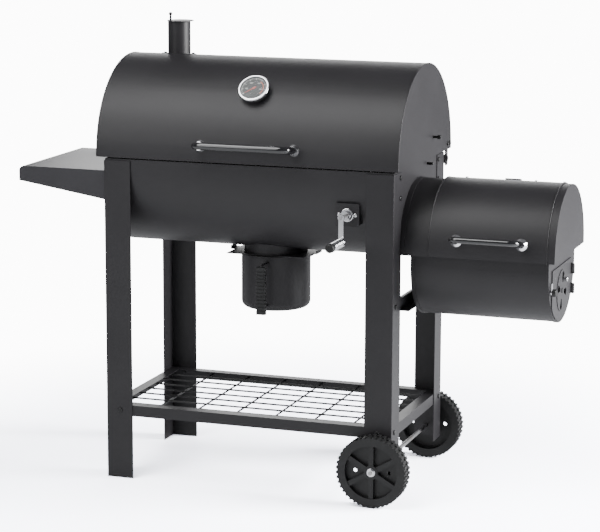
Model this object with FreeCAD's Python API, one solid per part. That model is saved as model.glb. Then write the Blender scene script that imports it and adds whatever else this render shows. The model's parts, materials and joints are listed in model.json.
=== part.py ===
import FreeCAD, Part

import math
import os

# Offset smoker: a horizontal barrel cooker on four angle legs, with a smaller firebox
# bolted to its right end, a folding-sheet side table on its left and two wheels.
# Millimetres, X to the right, Y to the back, Z up, floor at Z = 0.  The shapes are laid
# out about the middle of the leg frame, and moved at the end so that the origin is the
# centre of the whole object's footprint, on the floor.

V = FreeCAD.Vector

# ---------------------------------------------------------------- driving dimensions
FRAME_LENGTH = 730.0        # over the outer faces of the legs, along X
FRAME_DEPTH = 424.0         # over the outer faces of the legs, along Y
LEG_PLATE = 68.0            # width of a leg's face that looks to the front or back
LEG_FLANGE = 61.0           # width of a leg's face that looks to the side
LEG_SHEET = 2.0
LEG_TOP = 787.0
WHEEL_RADIUS = 86.0
WHEEL_WIDTH = 38.0
WHEEL_GAP = 6.0             # leg face to wheel
WHEEL_RECESS = 4.0          # pocket for the washer and nut
TYRE_DEPTH = 13.0           # tread ring, from its outside to the rim
TREAD_DEPTH = 3.0
TREAD_GROOVE = 4.0
TREAD_TEETH = 44
AXLE_RADIUS = 5.0
AXLE_INSET = 37.0           # leg outer corner to axle centre, along X
LEG_BELOW_AXLE = 24.0       # how far the right legs reach below the axle

SKIN = 1.5                  # sheet of the barrel, lids and firebox
BARREL_BOTTOM = 565.0
BARREL_RIM = 791.5
BARREL_GAP = 1.0            # barrel skin to leg plates
LID_RISE = 8.9              # barrel rim to the lid's axis
LID_GAP = 3.1               # barrel rim to the lid's lower edge
LID_OVERHANG_FRONT = 13.0   # lid radius beyond half of the frame's depth
LID_OVERHANG_LEFT = 20.0    # lid beyond the legs
LID_OVERHANG_RIGHT = 10.0
CAP_FLANGE = 14.0           # return flange of an end cap
HINGE_OUT = 10.0            # lid pivot behind the rear legs
HINGE_DROP = 17.0           # lid pivot below the top of the legs
HINGE_PIN_RADIUS = 4.0
RUNNING_FIT = 0.05          # radial clearance of a pin in its hole

CHIMNEY_RADIUS = 28.0
CHIMNEY_X = -271.5
CHIMNEY_Y = 45.0
CHIMNEY_HEIGHT = 78.6       # lid's top to the flue's top
CHIMNEY_WALL = 1.5
SADDLE_SHEET = 1.3
DAMPER_RADIUS = 33.0
DAMPER_SHEET = 1.5
KNOB_RADIUS = 4.6
PIVOT_ROD = 2.0
PIVOT_SLEEVE = 4.2
PIVOT_FOOT = 3.2
PIVOT_INSET = 5.0           # cap pivot from the outside of the flue

THERMOMETER_RADIUS = 38.5
THERMOMETER_ANGLE = 44.5    # above the horizontal, on the lid
THERMOMETER_X = 0.0
THREAD_RADIUS = 5.0
CASE_STANDOFF = 6.0         # lid skin to the back of the case
OUTER_NUT = 22.0            # across its flats
INNER_NUT = 18.0
INNER_NUT_HEIGHT = 5.0
POINTER_REST = 128.0        # degrees from upright, with the smoker cold

HANDLE_SPAN = 235.0
HANDLE_TUBE = 9.0
HANDLE_STANDOFF = 50.0
HANDLE_ANGLE = 8.2
HANDLE_WALL = 1.5
ROSETTE_RADIUS = 14.5
ROSETTE_SEAT = 4.0          # lid skin to the end of the handle's tube
ROSETTE_HEIGHT = 7.0
PEG_Y = 75.0                # stop peg on the lid's right end
PEG_RISE = 50.5             # barrel rim to the peg

FIREBOX_Y = -6.0
FIREBOX_LID_RADIUS = 157.5
FIREBOX_RIM = 591.5
FIREBOX_LID_RISE = 9.5      # rim to the lid's axis
FIREBOX_LID_GAP = 1.9       # rim to the lid's lower edge
FIREBOX_BODY_DROP = 27.5    # rim to the body's axis
FIREBOX_STEP = 21.5         # lid radius to the end plates, whose rims lap over the body's skin
FIREBOX_GAP = 21.0          # leg frame to the firebox body
FIREBOX_LENGTH = 331.0
FIREBOX_CAP_REACH = 18.0    # lid end cap beyond the body's end
COLLAR_STEP = 5.0           # lid radius to collar radius
COLLAR_LENGTH = 76.0
COLLAR_LAP = 8.0            # collar reaches this far under the lid
COLLAR_BAND = 12.0          # raised band at the collar's inner end
END_LAP = 8.0               # rim of a firebox end plate, over the skin
FIRE_GRATE_DROP = 78.0      # body axis to the wood grate
FIREBOX_HANDLE_SPAN = 156.0
FIREBOX_HANDLE_TUBE = 7.6
FIREBOX_HANDLE_ANGLE = 12.2
FIREBOX_HANDLE_OFFSET = 2.5 # beyond the lid's middle
FIREBOX_HANDLE_STANDOFF = 56.0
FIREBOX_HINGE_RADIUS = 3.5
FIREBOX_KNUCKLE = 6.5
FITTING_ANGLE = 103.0       # screws and small plate on the firebox lid, just behind its top
FITTING_FIRST = 41.0        # from the lid's left edge
FITTING_SECOND = 68.0       # beyond its middle
FITTING_LAST = 6.0          # from its right edge, through the cap's flange
TOP_PLATE_OFFSET = 6.0      # left of its middle
TOP_PLATE_LENGTH = 37.0
FIREBOX_LEAF = 20.0         # half of a hinge leaf's length
FIREBOX_HINGE_INSET = 47.0  # lid's edge to a hinge's middle

DOOR_MARGIN = 12.0          # end plate's radius to the round lower edge of the ash door
DOOR_SHIFT_Y = 7.0          # door's middle before the body's axis
DOOR_DROP = 6.0             # door's middle below the body's axis
DOOR_TOP_DROP = 24.5        # rim to the door's top
DOOR_FRONT_INSET = 32.0     # end plate's front to the door's front edge
DOOR_REAR_INSET = 46.0
DOOR_SHEET = 2.0
DOOR_GAP = 0.5              # end plate to door
DOOR_OVERLAP = 12.0         # door over the edge of its opening
DOOR_PIN_RADIUS = 2.5
DOOR_KNUCKLE = 4.6
DOOR_HINGE_SETBACK = 6.0    # hinge axis behind the door's rear edge
DOOR_HINGE_DROPS = (24.0, 72.0)  # below the body's axis
AIR_SHIFT_Y = 8.0           # disc before the body's axis
AIR_DROP = 59.0             # disc below it
AIR_DISC_RADIUS = 50.0
AIR_DISC_SHEET = 1.2
AIR_DISC_GAP = 0.3
AIR_PIVOT = 2.5
AIR_SLOT_INNER = 21.0
AIR_SLOT_OUTER = 45.0
AIR_SLOT_ANGLE = 13.5       # half the angle that a vent spans
AIR_SLOT_TURN = -14.0       # degrees that the four vents are turned from upright
AIR_KNOB_REACH = 31.0
AIR_KNOB_TURN = 52.0
LATCH_INSET = 22.0          # end plate's front to the latch
LATCH_DROP = 45.0           # latch below the body's axis
LATCH_STUD = 3.0
LATCH_REACH = 22.0
LATCH_KNOB = 9.0

TABLE_LENGTH = 244.0
TABLE_DEPTH = 350.0
TABLE_TOP = 756.0
TABLE_SHEET = 1.5
TABLE_SKIRT_OUTER = 36.0
TABLE_SKIRT_INNER = 74.0
TABLE_BEND = 12.0
TABLE_BOLT_DROP = 58.0      # table top to the bolts that hold it

SHELF_TOP = 184.0
SHELF_RAIL = 27.0
SHELF_SHEET = 1.5
SHELF_WIRE = 2.2
SHELF_DROP = 12.0           # wires below the rail tops
SHELF_CROSS_WIRES = 6
SHELF_CROSS_PITCH = 100.0
SHELF_LONG_WIRES = 7

CRANK_X = 250.0
CRANK_Z = 688.0
CRANK_ROD = 4.0
CRANK_REACH = 46.0          # hub face to crank arm
CRANK_ARM = 58.0
GRIP_LENGTH = 84.0
GRIP_RADIUS = 11.0
GRIP_WIRE = 1.7
GRIP_TURNS = 9
GRIP_PIN = 2.6
LIFT_ARM = 44.0             # throw of the pan lifter inside the barrel
LIFT_REST = -45.0           # lifter angle with the pan at its lowest
LIFT_CLEAR = 3.0            # lifter to the pan's rails
LIFT_HALF = 92.0            # half the width of the lifting bail
CRANK_STANDOFF = 15.514     # barrel wall to the face of the crank's plate
CRANK_TAIL = 5.514           # shaft beyond the rear wall

PAN_DEPTH = 250.0
PAN_BOTTOM_HALF = 200.0
PAN_TOP_HALF = 236.0
PAN_HEIGHT = 38.0
PAN_SHEET = 1.2
GRATE_Z = 780.0
GRATE_WIRE = 2.5
GRATE_GAP = 8.0
GRATE_REST = 1.5            # sheet of the rests under the grates

POT_RADIUS = 85.0
POT_HEIGHT = 137.0
POT_DROP = 13.0             # barrel's bottom to the pot's rim
POT_WALL = 1.5
POT_CORNER = 16.0
POT_RIM = 9.0
POT_GRIP_X = 8.0
POT_GRIP_REACH = 44.0       # pot wall to the grip's axis
POT_GRIP_START = 3.0        # pot's bottom to the grip's
POT_GRIP_LENGTH = 116.0
POT_GRIP_HALF = 12.0
POT_GRIP_RIBS = 12
BAIL_START = 16.0           # pot's bottom to the bail's lower end
BAIL_SPAN = 106.0
BAIL_WIRE = 3.0
HOLDER_SHEET = 1.5
HOLDER_SIDE_GAP = 4.5       # pot's rim to the side channels, along X
HOLDER_CHANNEL = 55.0       # half the length of the side channels
HOLDER_PLATE = 80.0         # half the plate's depth
HOLDER_RING = 78.0
HOLDER_EAR = 12.0
DRAIN_RADIUS = 60.0

BOLT_HEAD = 6.0
BOLT_HEAD_HEIGHT = 3.2
BOLT_SHANK = 3.0
BOLT_ROOM = 0.5             # round a bolt's head, in a sheet that goes over it
SMALL_SCREW_HEAD = 4.0
SMALL_SCREW = 2.0
SMALL_SCREW_HOLE = 2.2
CROSSBAR_LOW = 107.0        # firebox axis to the crossbar's lower face
CROSSBAR_HEIGHT = 33.0
CROSSBAR_BOLT = 16.0        # above the lower face
CROSSBAR_LIP = 8.0

# ---------------------------------------------------------------- places worked out
HALF_L = FRAME_LENGTH / 2
HALF_D = FRAME_DEPTH / 2
BARREL_RADIUS = HALF_D - LEG_SHEET - BARREL_GAP
BARREL_CENTRE_Z = BARREL_BOTTOM + BARREL_RADIUS
BARREL_HALF = HALF_L - LEG_SHEET
LID_RADIUS = HALF_D + LID_OVERHANG_FRONT
LID_CENTRE_Y = LID_RADIUS - HALF_D
LID_CENTRE_Z = BARREL_RIM + LID_RISE
LID_SPLIT = BARREL_RIM + LID_GAP
PEG_Z = BARREL_RIM + PEG_RISE
LID_LEFT = -HALF_L - LID_OVERHANG_LEFT
LID_RIGHT = HALF_L + LID_OVERHANG_RIGHT
HINGE_Y = HALF_D + HINGE_OUT
HINGE_Z = LEG_TOP - HINGE_DROP
AXLE_X = HALF_L - AXLE_INSET
WHEEL_INNER_Y = HALF_D + WHEEL_GAP
BODY_LEFT = HALF_L + FIREBOX_GAP
BODY_RIGHT = BODY_LEFT + FIREBOX_LENGTH
CAP_RIGHT = BODY_RIGHT + FIREBOX_CAP_REACH
COLLAR_RIGHT = HALF_L + COLLAR_LENGTH
FIREBOX_LID_LEFT = COLLAR_RIGHT - COLLAR_LAP
FIREBOX_LID_MIDDLE = (FIREBOX_LID_LEFT + BODY_RIGHT) / 2
FIREBOX_HANDLE_CENTRE = FIREBOX_LID_MIDDLE + FIREBOX_HANDLE_OFFSET
FITTING_PLACES = (FIREBOX_LID_LEFT + FITTING_FIRST, FIREBOX_LID_MIDDLE + FITTING_SECOND,
                  BODY_RIGHT - FITTING_LAST)
TOP_PLATE_LEFT = FIREBOX_LID_MIDDLE - TOP_PLATE_OFFSET
FIREBOX_LID_Z = FIREBOX_RIM + FIREBOX_LID_RISE
FIREBOX_SPLIT = FIREBOX_RIM + FIREBOX_LID_GAP
FIREBOX_BODY_Z = FIREBOX_RIM - FIREBOX_BODY_DROP
FIREBOX_END_RADIUS = FIREBOX_LID_RADIUS - FIREBOX_STEP
COLLAR_RADIUS = FIREBOX_LID_RADIUS - COLLAR_STEP
FIRE_GRATE_Z = FIREBOX_BODY_Z - FIRE_GRATE_DROP
FIREBOX_SKIN_RADIUS = FIREBOX_END_RADIUS - SKIN
FIREBOX_REAR = FIREBOX_Y + FIREBOX_SKIN_RADIUS
FIREBOX_HINGE_Y = FIREBOX_Y + FIREBOX_LID_RADIUS - 5.5
FIREBOX_HINGE_Z = FIREBOX_SPLIT - 15.5
DOOR_RADIUS = FIREBOX_END_RADIUS - DOOR_MARGIN
DOOR_MID_Y = FIREBOX_Y - DOOR_SHIFT_Y
DOOR_MID_Z = FIREBOX_BODY_Z - DOOR_DROP
DOOR_TOP = FIREBOX_RIM - DOOR_TOP_DROP
DOOR_FRONT_Y = FIREBOX_Y - FIREBOX_END_RADIUS + DOOR_FRONT_INSET
DOOR_REAR_Y = FIREBOX_Y + FIREBOX_END_RADIUS - DOOR_REAR_INSET
DOOR_HINGE_LEVELS = tuple(FIREBOX_BODY_Z - drop for drop in DOOR_HINGE_DROPS)
AIR_CENTRE_Y = FIREBOX_Y - AIR_SHIFT_Y
AIR_CENTRE_Z = FIREBOX_BODY_Z - AIR_DROP
LATCH_Y = FIREBOX_Y - FIREBOX_END_RADIUS + LATCH_INSET
LATCH_Z = FIREBOX_BODY_Z - LATCH_DROP
CROSSBAR_Z = FIREBOX_BODY_Z - CROSSBAR_LOW
DOOR_X = BODY_RIGHT + DOOR_GAP
DOOR_HINGE_Y = DOOR_REAR_Y + DOOR_HINGE_SETBACK
DOOR_HINGE_X = DOOR_X + DOOR_SHEET + DOOR_PIN_RADIUS + 1.0
AIR_DISC_X = DOOR_X + DOOR_SHEET + AIR_DISC_GAP
LATCH_X = DOOR_X + DOOR_SHEET + 0.4
TABLE_OUTER = -HALF_L - TABLE_LENGTH
SHELF_WIRE_Z = SHELF_TOP - SHELF_DROP
CRANK_WALL_Y = math.sqrt(BARREL_RADIUS ** 2 - (BARREL_CENTRE_Z - CRANK_Z) ** 2)
CRANK_FACE_Y = -CRANK_WALL_Y - CRANK_STANDOFF
CRANK_ARM_Y = CRANK_FACE_Y - CRANK_REACH
CRANK_END = CRANK_WALL_Y + CRANK_TAIL
LIFT_DROP = LIFT_ARM * math.sin(math.radians(LIFT_REST))
PAN_RAIL = 3.0
PAN_BOTTOM = CRANK_Z + LIFT_DROP + CRANK_ROD + PAN_RAIL + LIFT_CLEAR
GRATE_REST_TOP = GRATE_Z - 4.0 - GRATE_WIRE
POT_TOP = BARREL_BOTTOM - POT_DROP
POT_BOTTOM = POT_TOP - POT_HEIGHT
POT_GRIP_Y = -POT_RADIUS - POT_GRIP_REACH
POT_GRIP_LOW = POT_BOTTOM + POT_GRIP_START
POT_GRIP_HIGH = POT_GRIP_LOW + POT_GRIP_LENGTH
BAIL_LOW = POT_BOTTOM + BAIL_START
BAIL_HIGH = BAIL_LOW + BAIL_SPAN
HOLDER_HALF = POT_RADIUS + POT_RIM + HOLDER_SIDE_GAP
HOLDER_TOP = POT_TOP + 1.0
PIVOT_X = CHIMNEY_X - CHIMNEY_RADIUS + PIVOT_INSET
DIAL_RADIUS = THERMOMETER_RADIUS - 5.0
BARREL_BOLT_Y = HALF_D - 50.0
CHIMNEY_TOP = LID_CENTRE_Z + LID_RADIUS + CHIMNEY_HEIGHT
SADDLE_ANGLE = 90.0 + math.degrees(math.asin((CHIMNEY_Y - LID_CENTRE_Y) / LID_RADIUS))


# ---------------------------------------------------------------- shape helpers
def box(x0, x1, y0, y1, z0, z1):
    return Part.makeBox(x1 - x0, y1 - y0, z1 - z0, V(x0, y0, z0))


def rod(start, end, radius):
    span = end.sub(start)
    return Part.makeCylinder(radius, span.Length, start, span)


def pipe(start, end, outer, inner):
    return rod(start, end, outer).cut(rod(start, end, inner))


def group(shapes):
    return Part.makeCompound(shapes)


def fuse_all(shapes):
    joined = shapes[0].multiFuse(shapes[1:]) if len(shapes) > 1 else shapes[0]
    return joined.removeSplitter()


def prism(points, direction):
    """A flat polygon pushed along direction."""
    return Part.Face(Part.makePolygon(points + [points[0]])).extrude(direction)


def trough(x0, x1, y_mid, z_mid, radius, z_top):
    """A solid with a half-round bottom and upright sides, lying along X."""
    left, right = y_mid - radius, y_mid + radius
    low = Part.Arc(V(x0, left, z_mid), V(x0, y_mid, z_mid - radius), V(x0, right, z_mid)).toShape()
    up = Part.LineSegment(V(x0, right, z_mid), V(x0, right, z_top)).toShape()
    across = Part.LineSegment(V(x0, right, z_top), V(x0, left, z_top)).toShape()
    down = Part.LineSegment(V(x0, left, z_top), V(x0, left, z_mid)).toShape()
    return Part.Face(Part.Wire([low, up, across, down])).extrude(V(x1 - x0, 0, 0))


def dome(x0, x1, y_mid, z_mid, radius, z_low):
    """The part of a cylinder along X that is above z_low."""
    whole = Part.makeCylinder(radius, x1 - x0, V(x0, y_mid, z_mid), V(1, 0, 0))
    keep = box(x0 - 1, x1 + 1, y_mid - 2 * radius, y_mid + 2 * radius, z_low, z_mid + 2 * radius)
    return whole.common(keep)


def bent_tube(points, bend, outer, inner=0.0):
    """A round bar or tube along straight runs joined by tangent arcs."""
    edges, here = [], points[0]
    for before, corner, after in zip(points, points[1:], points[2:]):
        back, ahead = before.sub(corner).normalize(), after.sub(corner).normalize()
        half = back.getAngle(ahead) / 2
        reach = bend / math.tan(half)
        start, end = corner + back * reach, corner + ahead * reach
        middle = (back + ahead).normalize()
        centre = corner + middle * (bend / math.sin(half))
        edges.append(Part.LineSegment(here, start).toShape())
        edges.append(Part.Arc(start, centre - middle * bend, end).toShape())
        here = end
    edges.append(Part.LineSegment(here, points[-1]).toShape())
    path = Part.Wire(edges)
    along = points[1].sub(points[0])
    solid = path.makePipeShell([Part.Wire(Part.makeCircle(outer, points[0], along))], True, False)
    if inner:
        hollow = path.makePipeShell([Part.Wire(Part.makeCircle(inner, points[0], along))], True, False)
        solid = solid.cut(hollow)
    return solid


def bolt(seat, outward, shank, head=BOLT_HEAD, height=BOLT_HEAD_HEIGHT, radius=BOLT_SHANK):
    """A round-headed bolt: seat is where the head meets the sheet."""
    out = V(outward).normalize()
    cap = Part.makeCylinder(head, height, seat, out)
    rim = [e for e in cap.Edges if len(e.Vertexes) == 1 and e.CenterOfMass.sub(seat).dot(out) > height / 2]
    cap = cap.makeFillet(min(height, head) * 0.6, rim)
    return cap.fuse(Part.makeCylinder(radius, shank, seat - out * shank, out)).removeSplitter()


def hex_nut(seat, outward, across, height, hole):
    out = V(outward).normalize()
    side = out.cross(V(1, 0, 0)).normalize()
    corner = across / math.sqrt(3)
    points = []
    for step in range(6):
        turn = FreeCAD.Rotation(out, 60.0 * step)
        points.append(seat + turn.multVec(side) * corner)
    return prism(points, out * height).cut(Part.makeCylinder(hole, height, seat, out))


def holes(seats, outward, depth, radius=BOLT_SHANK + 0.2):
    out = V(outward).normalize()
    return group([Part.makeCylinder(radius, 2 * depth, seat - out * depth, out) for seat in seats])


def on_circle(x, y_mid, z_mid, radius, angle):
    """A point on a cylinder along X; angle is above the horizontal, towards the front."""
    turn = math.radians(angle)
    return V(x, y_mid - radius * math.cos(turn), z_mid + radius * math.sin(turn))


def outward(angle):
    turn = math.radians(angle)
    return V(0, -math.cos(turn), math.sin(turn))


# ---------------------------------------------------------------- fastener places
SHELF_BOLT_Z = SHELF_TOP - SHELF_RAIL / 2
LEG_BOLT_Y = HALF_D - LEG_FLANGE * 0.35


def barrel_bolt_seats(side):
    """Bolts through a pair of legs into the barrel's end plate."""
    x = side * HALF_L
    heights = (LEG_TOP - 12.0, LEG_TOP - 60.0)
    return [V(x, y * BARREL_BOLT_Y, z) for y in (-1, 1) for z in heights]


def shelf_side_seats(side):
    return [V(side * HALF_L, y * LEG_BOLT_Y, SHELF_BOLT_Z) for y in (-1, 1)]


def shelf_face_seats(face):
    x = HALF_L - LEG_PLATE * 0.52
    return [V(side * x, face * HALF_D, SHELF_BOLT_Z) for side in (-1, 1)]


def crossbar_seats():
    return [V(HALF_L, y * LEG_BOLT_Y, CROSSBAR_Z + CROSSBAR_BOLT) for y in (-1, 1)]


# ---------------------------------------------------------------- legs and frame
def leg(side, face, bottom):
    """An angle leg; side is -1 left or +1 right, face is -1 front or +1 back."""
    x_out, y_out = side * HALF_L, face * HALF_D
    plate = box(min(x_out, x_out - side * LEG_PLATE), max(x_out, x_out - side * LEG_PLATE),
                min(y_out, y_out - face * LEG_SHEET), max(y_out, y_out - face * LEG_SHEET), bottom, LEG_TOP)
    flange = box(min(x_out, x_out - side * LEG_SHEET), max(x_out, x_out - side * LEG_SHEET),
                 min(y_out, y_out - face * LEG_FLANGE), max(y_out, y_out - face * LEG_FLANGE),
                 bottom, LEG_TOP)
    angle = plate.fuse(flange).removeSplitter()
    corner = [e for e in angle.Edges if abs(e.CenterOfMass.x - x_out) < 0.01
              and abs(e.CenterOfMass.y - y_out) < 0.01 and e.Length > 100]
    angle = angle.makeFillet(LEG_SHEET * 0.9, corner)
    side_seats = barrel_bolt_seats(side) + shelf_side_seats(side)
    if side > 0:
        side_seats += crossbar_seats()
    if side < 0:
        side_seats += table_seats()
    mine = [s for s in side_seats if s.y * face > 0]
    angle = angle.cut(holes(mine, V(side, 0, 0), 6.0))
    front = [s for s in shelf_face_seats(face) if s.x * side > 0]
    angle = angle.cut(holes(front, V(0, face, 0), 6.0))
    if side > 0:
        axle_hole = rod(V(AXLE_X, y_out - 6, WHEEL_RADIUS), V(AXLE_X, y_out + 6, WHEEL_RADIUS),
                        AXLE_RADIUS + 0.3)
        angle = angle.cut(axle_hole)
    return angle


def shelf_rail_x(face):
    """Front or rear shelf rail: face upright, top flange turned inwards."""
    y_out = face * (HALF_D - LEG_SHEET)
    half = HALF_L - LEG_SHEET
    upright = box(-half, half, min(y_out, y_out - face * SHELF_SHEET),
                  max(y_out, y_out - face * SHELF_SHEET), SHELF_TOP - SHELF_RAIL, SHELF_TOP)
    top = box(-half + SHELF_RAIL, half - SHELF_RAIL, min(y_out, y_out - face * SHELF_RAIL),
              max(y_out, y_out - face * SHELF_RAIL), SHELF_TOP - SHELF_SHEET, SHELF_TOP)
    rail = upright.fuse(top).removeSplitter()
    return rail.cut(holes(shelf_face_seats(face), V(0, face, 0), 6.0))


def shelf_rail_y(side):
    """Left or right shelf rail, between the front and rear rails."""
    x_out = side * (HALF_L - LEG_SHEET)
    half = HALF_D - LEG_SHEET - SHELF_SHEET
    upright = box(min(x_out, x_out - side * SHELF_SHEET), max(x_out, x_out - side * SHELF_SHEET),
                  -half, half, SHELF_TOP - SHELF_RAIL, SHELF_TOP)
    top = box(min(x_out, x_out - side * SHELF_RAIL), max(x_out, x_out - side * SHELF_RAIL),
              -half, half, SHELF_TOP - SHELF_SHEET, SHELF_TOP)
    rail = upright.fuse(top).removeSplitter()
    return rail.cut(holes(shelf_side_seats(side), V(side, 0, 0), 6.0))


def shelf_wires():
    """Welded wire mesh: long wires on top of the cross wires."""
    half_x = HALF_L - LEG_SHEET - SHELF_SHEET
    half_y = HALF_D - LEG_SHEET - SHELF_SHEET
    wires = []
    first = -SHELF_CROSS_PITCH * (SHELF_CROSS_WIRES - 1) / 2
    for step in range(SHELF_CROSS_WIRES):
        x = first + step * SHELF_CROSS_PITCH
        wires.append(rod(V(x, -half_y, SHELF_WIRE_Z), V(x, half_y, SHELF_WIRE_Z), SHELF_WIRE))
    pitch = 2 * half_y / (SHELF_LONG_WIRES + 1)
    high = SHELF_WIRE_Z + 2 * SHELF_WIRE - 0.6
    for step in range(SHELF_LONG_WIRES):
        y = -half_y + (step + 1) * pitch
        wires.append(rod(V(-half_x, y, high), V(half_x, y, high), SHELF_WIRE))
    return fuse_all(wires)


def crossbar():
    """Angle between the right legs that carries the firebox's inner end."""
    x_web = HALF_L - LEG_SHEET
    z_low, z_high = CROSSBAR_Z, CROSSBAR_Z + CROSSBAR_HEIGHT
    web = box(x_web - LEG_SHEET, x_web, -HALF_D + 6, HALF_D - 6, z_low, z_high)
    shelf_half = HALF_D - LEG_FLANGE - 1.0
    ledge = box(x_web - LEG_SHEET, BODY_LEFT, -shelf_half, shelf_half, z_low, z_low + LEG_SHEET)
    lip = box(x_web - LEG_SHEET, x_web - LEG_SHEET + CROSSBAR_LIP, -shelf_half, shelf_half,
              z_high - LEG_SHEET, z_high)
    bar = fuse_all([web, ledge, lip])
    return bar.cut(holes(crossbar_seats(), V(1, 0, 0), 8.0))


def frame_bolts():
    """Round-headed bolts of the legs, shelf, crossbar and table, and a pin on the end plate."""
    bolts = []
    for side in (-1, 1):
        out = V(side, 0, 0)
        for seat in barrel_bolt_seats(side) + shelf_side_seats(side):
            bolts.append(bolt(seat, out, 7.0))
    for seat in crossbar_seats():
        bolts.append(bolt(seat, V(1, 0, 0), 7.0))
    for face in (-1, 1):
        for seat in shelf_face_seats(face):
            bolts.append(bolt(seat, V(0, face, 0), 7.0))
    for seat in table_seats():
        bolts.append(bolt(seat - V(TABLE_SHEET, 0, 0), V(-1, 0, 0), TABLE_SHEET + LEG_SHEET + SKIN + 3.0))
    bolts.append(bolt(end_pin_seat(), V(1, 0, 0), 5.0, 3.4, 15.0, 2.5))
    return group(bolts)


def end_pin_seat():
    """Plain pin on the outside of the barrel's right end plate."""
    return V(BARREL_HALF, PEG_Y - 5.0, BARREL_RIM - 14.0)


# ---------------------------------------------------------------- side table
def table_seats():
    return [V(-HALF_L, y * (HALF_D - LEG_FLANGE * 0.75), TABLE_TOP - TABLE_BOLT_DROP) for y in (-1, 1)]


def side_table():
    """Folded sheet: flat top, sides that deepen towards the legs, rounded outer end."""
    half = TABLE_DEPTH / 2
    inner = -HALF_L
    z = TABLE_TOP
    profile = [V(inner, -half, z), V(TABLE_OUTER, -half, z), V(TABLE_OUTER, -half, z - TABLE_SKIRT_OUTER),
               V(inner, -half, z - TABLE_SKIRT_INNER)]
    solid = prism(profile, V(0, TABLE_DEPTH, 0))
    edge = [e for e in solid.Edges if abs(e.CenterOfMass.x - TABLE_OUTER) < 0.01
            and abs(e.CenterOfMass.z - z) < 0.01]
    solid = solid.makeFillet(TABLE_BEND, edge)
    t = TABLE_SHEET
    cavity_profile = [V(inner - t, -half + t, z - t), V(TABLE_OUTER + t, -half + t, z - t),
                      V(TABLE_OUTER + t, -half + t, z - TABLE_SKIRT_INNER - 10),
                      V(inner - t, -half + t, z - TABLE_SKIRT_INNER - 10)]
    cavity = prism(cavity_profile, V(0, TABLE_DEPTH - 2 * t, 0))
    edge = [e for e in cavity.Edges if abs(e.CenterOfMass.x - TABLE_OUTER - t) < 0.01
            and abs(e.CenterOfMass.z - z + t) < 0.01]
    cavity = cavity.makeFillet(TABLE_BEND - t, edge)
    table = solid.cut(cavity)
    table = table.cut(holes(barrel_bolt_seats(-1), V(-1, 0, 0), 6.0, BOLT_HEAD + BOLT_ROOM))
    return table.cut(holes(table_seats(), V(-1, 0, 0), 6.0))


# ---------------------------------------------------------------- wheels
def axle():
    reach = WHEEL_INNER_Y + WHEEL_WIDTH + 6.0
    return rod(V(AXLE_X, -reach, WHEEL_RADIUS), V(AXLE_X, reach, WHEEL_RADIUS), AXLE_RADIUS)


def wheel_frame(face):
    """Axis point on the wheel's outer face and the outward direction."""
    return V(AXLE_X, face * (WHEEL_INNER_Y + WHEEL_WIDTH), WHEEL_RADIUS), V(0, face, 0)


def annulus(seat, inward, outer, inner, depth):
    return Part.makeCylinder(outer, depth, seat, inward).cut(
        Part.makeCylinder(inner, depth, seat, inward))


def wheel_core(face):
    """Inside of the moulded wheel: rim, web with wedge pockets, six spokes and a hub."""
    seat, out = wheel_frame(face)
    inward = out * -1
    rim_outer = WHEEL_RADIUS - TYRE_DEPTH
    rim_inner = rim_outer - 9.0
    hub = 17.0
    web_start = 6.0
    body = annulus(seat, inward, rim_outer, rim_inner, WHEEL_WIDTH)
    web = Part.makeCylinder(rim_inner + 1, 5.0, seat + inward * (web_start + 6.0), inward)
    boss = Part.makeCylinder(hub, WHEEL_WIDTH - 2.0, seat + inward * 1.0, inward)
    pieces = [body, web, boss]
    for step in range(6):
        spoke = box(hub - 3, rim_inner + 2, -6.0, 6.0, 0, 10.0)
        spoke.Placement = FreeCAD.Placement(seat + inward * 2.0,
                                            FreeCAD.Rotation(V(0, 0, 1), inward) *
                                            FreeCAD.Rotation(V(0, 0, 1), 60.0 * step + 30.0))
        pieces.append(spoke)
    wheel = fuse_all(pieces)
    recess = Part.makeCylinder(11.5, WHEEL_RECESS, seat, inward)
    bore = Part.makeCylinder(AXLE_RADIUS + RUNNING_FIT, WHEEL_WIDTH + 2, seat + out, inward)
    wheel = wheel.cut(recess).cut(bore)
    for step in (0, 3):
        turn = math.radians(60.0 * step)
        spot = V(math.cos(turn) * 42.0, 0, math.sin(turn) * 42.0)
        wheel = wheel.cut(Part.makeCylinder(5.0, WHEEL_WIDTH + 2, seat + out + spot, inward))
    return wheel


def wheel(face):
    """Moulded wheel with two rows of tread blocks, half a tooth apart."""
    seat, out = wheel_frame(face)
    inward = out * -1
    root = WHEEL_RADIUS - TREAD_DEPTH
    band = annulus(seat, inward, root, WHEEL_RADIUS - TYRE_DEPTH, WHEEL_WIDTH)
    blocks = []
    row = (WHEEL_WIDTH - TREAD_GROOVE) / 2
    wide = math.pi * WHEEL_RADIUS / TREAD_TEETH
    for start, shift in ((0.0, 0.0), (row + TREAD_GROOVE, 0.5)):
        ring = annulus(seat + inward * start, inward, WHEEL_RADIUS, root - 0.5, row)
        cutters = []
        for step in range(TREAD_TEETH):
            gap = box(root, WHEEL_RADIUS + 1, -wide / 2, wide / 2, -1, row + 1)
            turn = FreeCAD.Rotation(V(0, 0, 1), 360.0 * (step + shift) / TREAD_TEETH)
            gap.Placement = FreeCAD.Placement(seat + inward * start,
                                              FreeCAD.Rotation(V(0, 0, 1), inward) * turn)
            cutters.append(gap)
        blocks.append(ring.cut(group(cutters)))
    return fuse_all([wheel_core(face), band] + blocks)


def wheel_fasteners(face):
    """Washer and nut on the end of the axle."""
    seat, out = wheel_frame(face)
    start = seat - out * (WHEEL_RECESS - 0.3)
    washer = Part.makeCylinder(10.0, 1.5, start, out).cut(Part.makeCylinder(AXLE_RADIUS, 1.5, start, out))
    nut = hex_nut(start + out * 1.5, out, 15.0, 6.0, AXLE_RADIUS)
    return [washer, nut]


def axle_nuts():
    return group(wheel_fasteners(-1) + wheel_fasteners(1))


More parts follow.
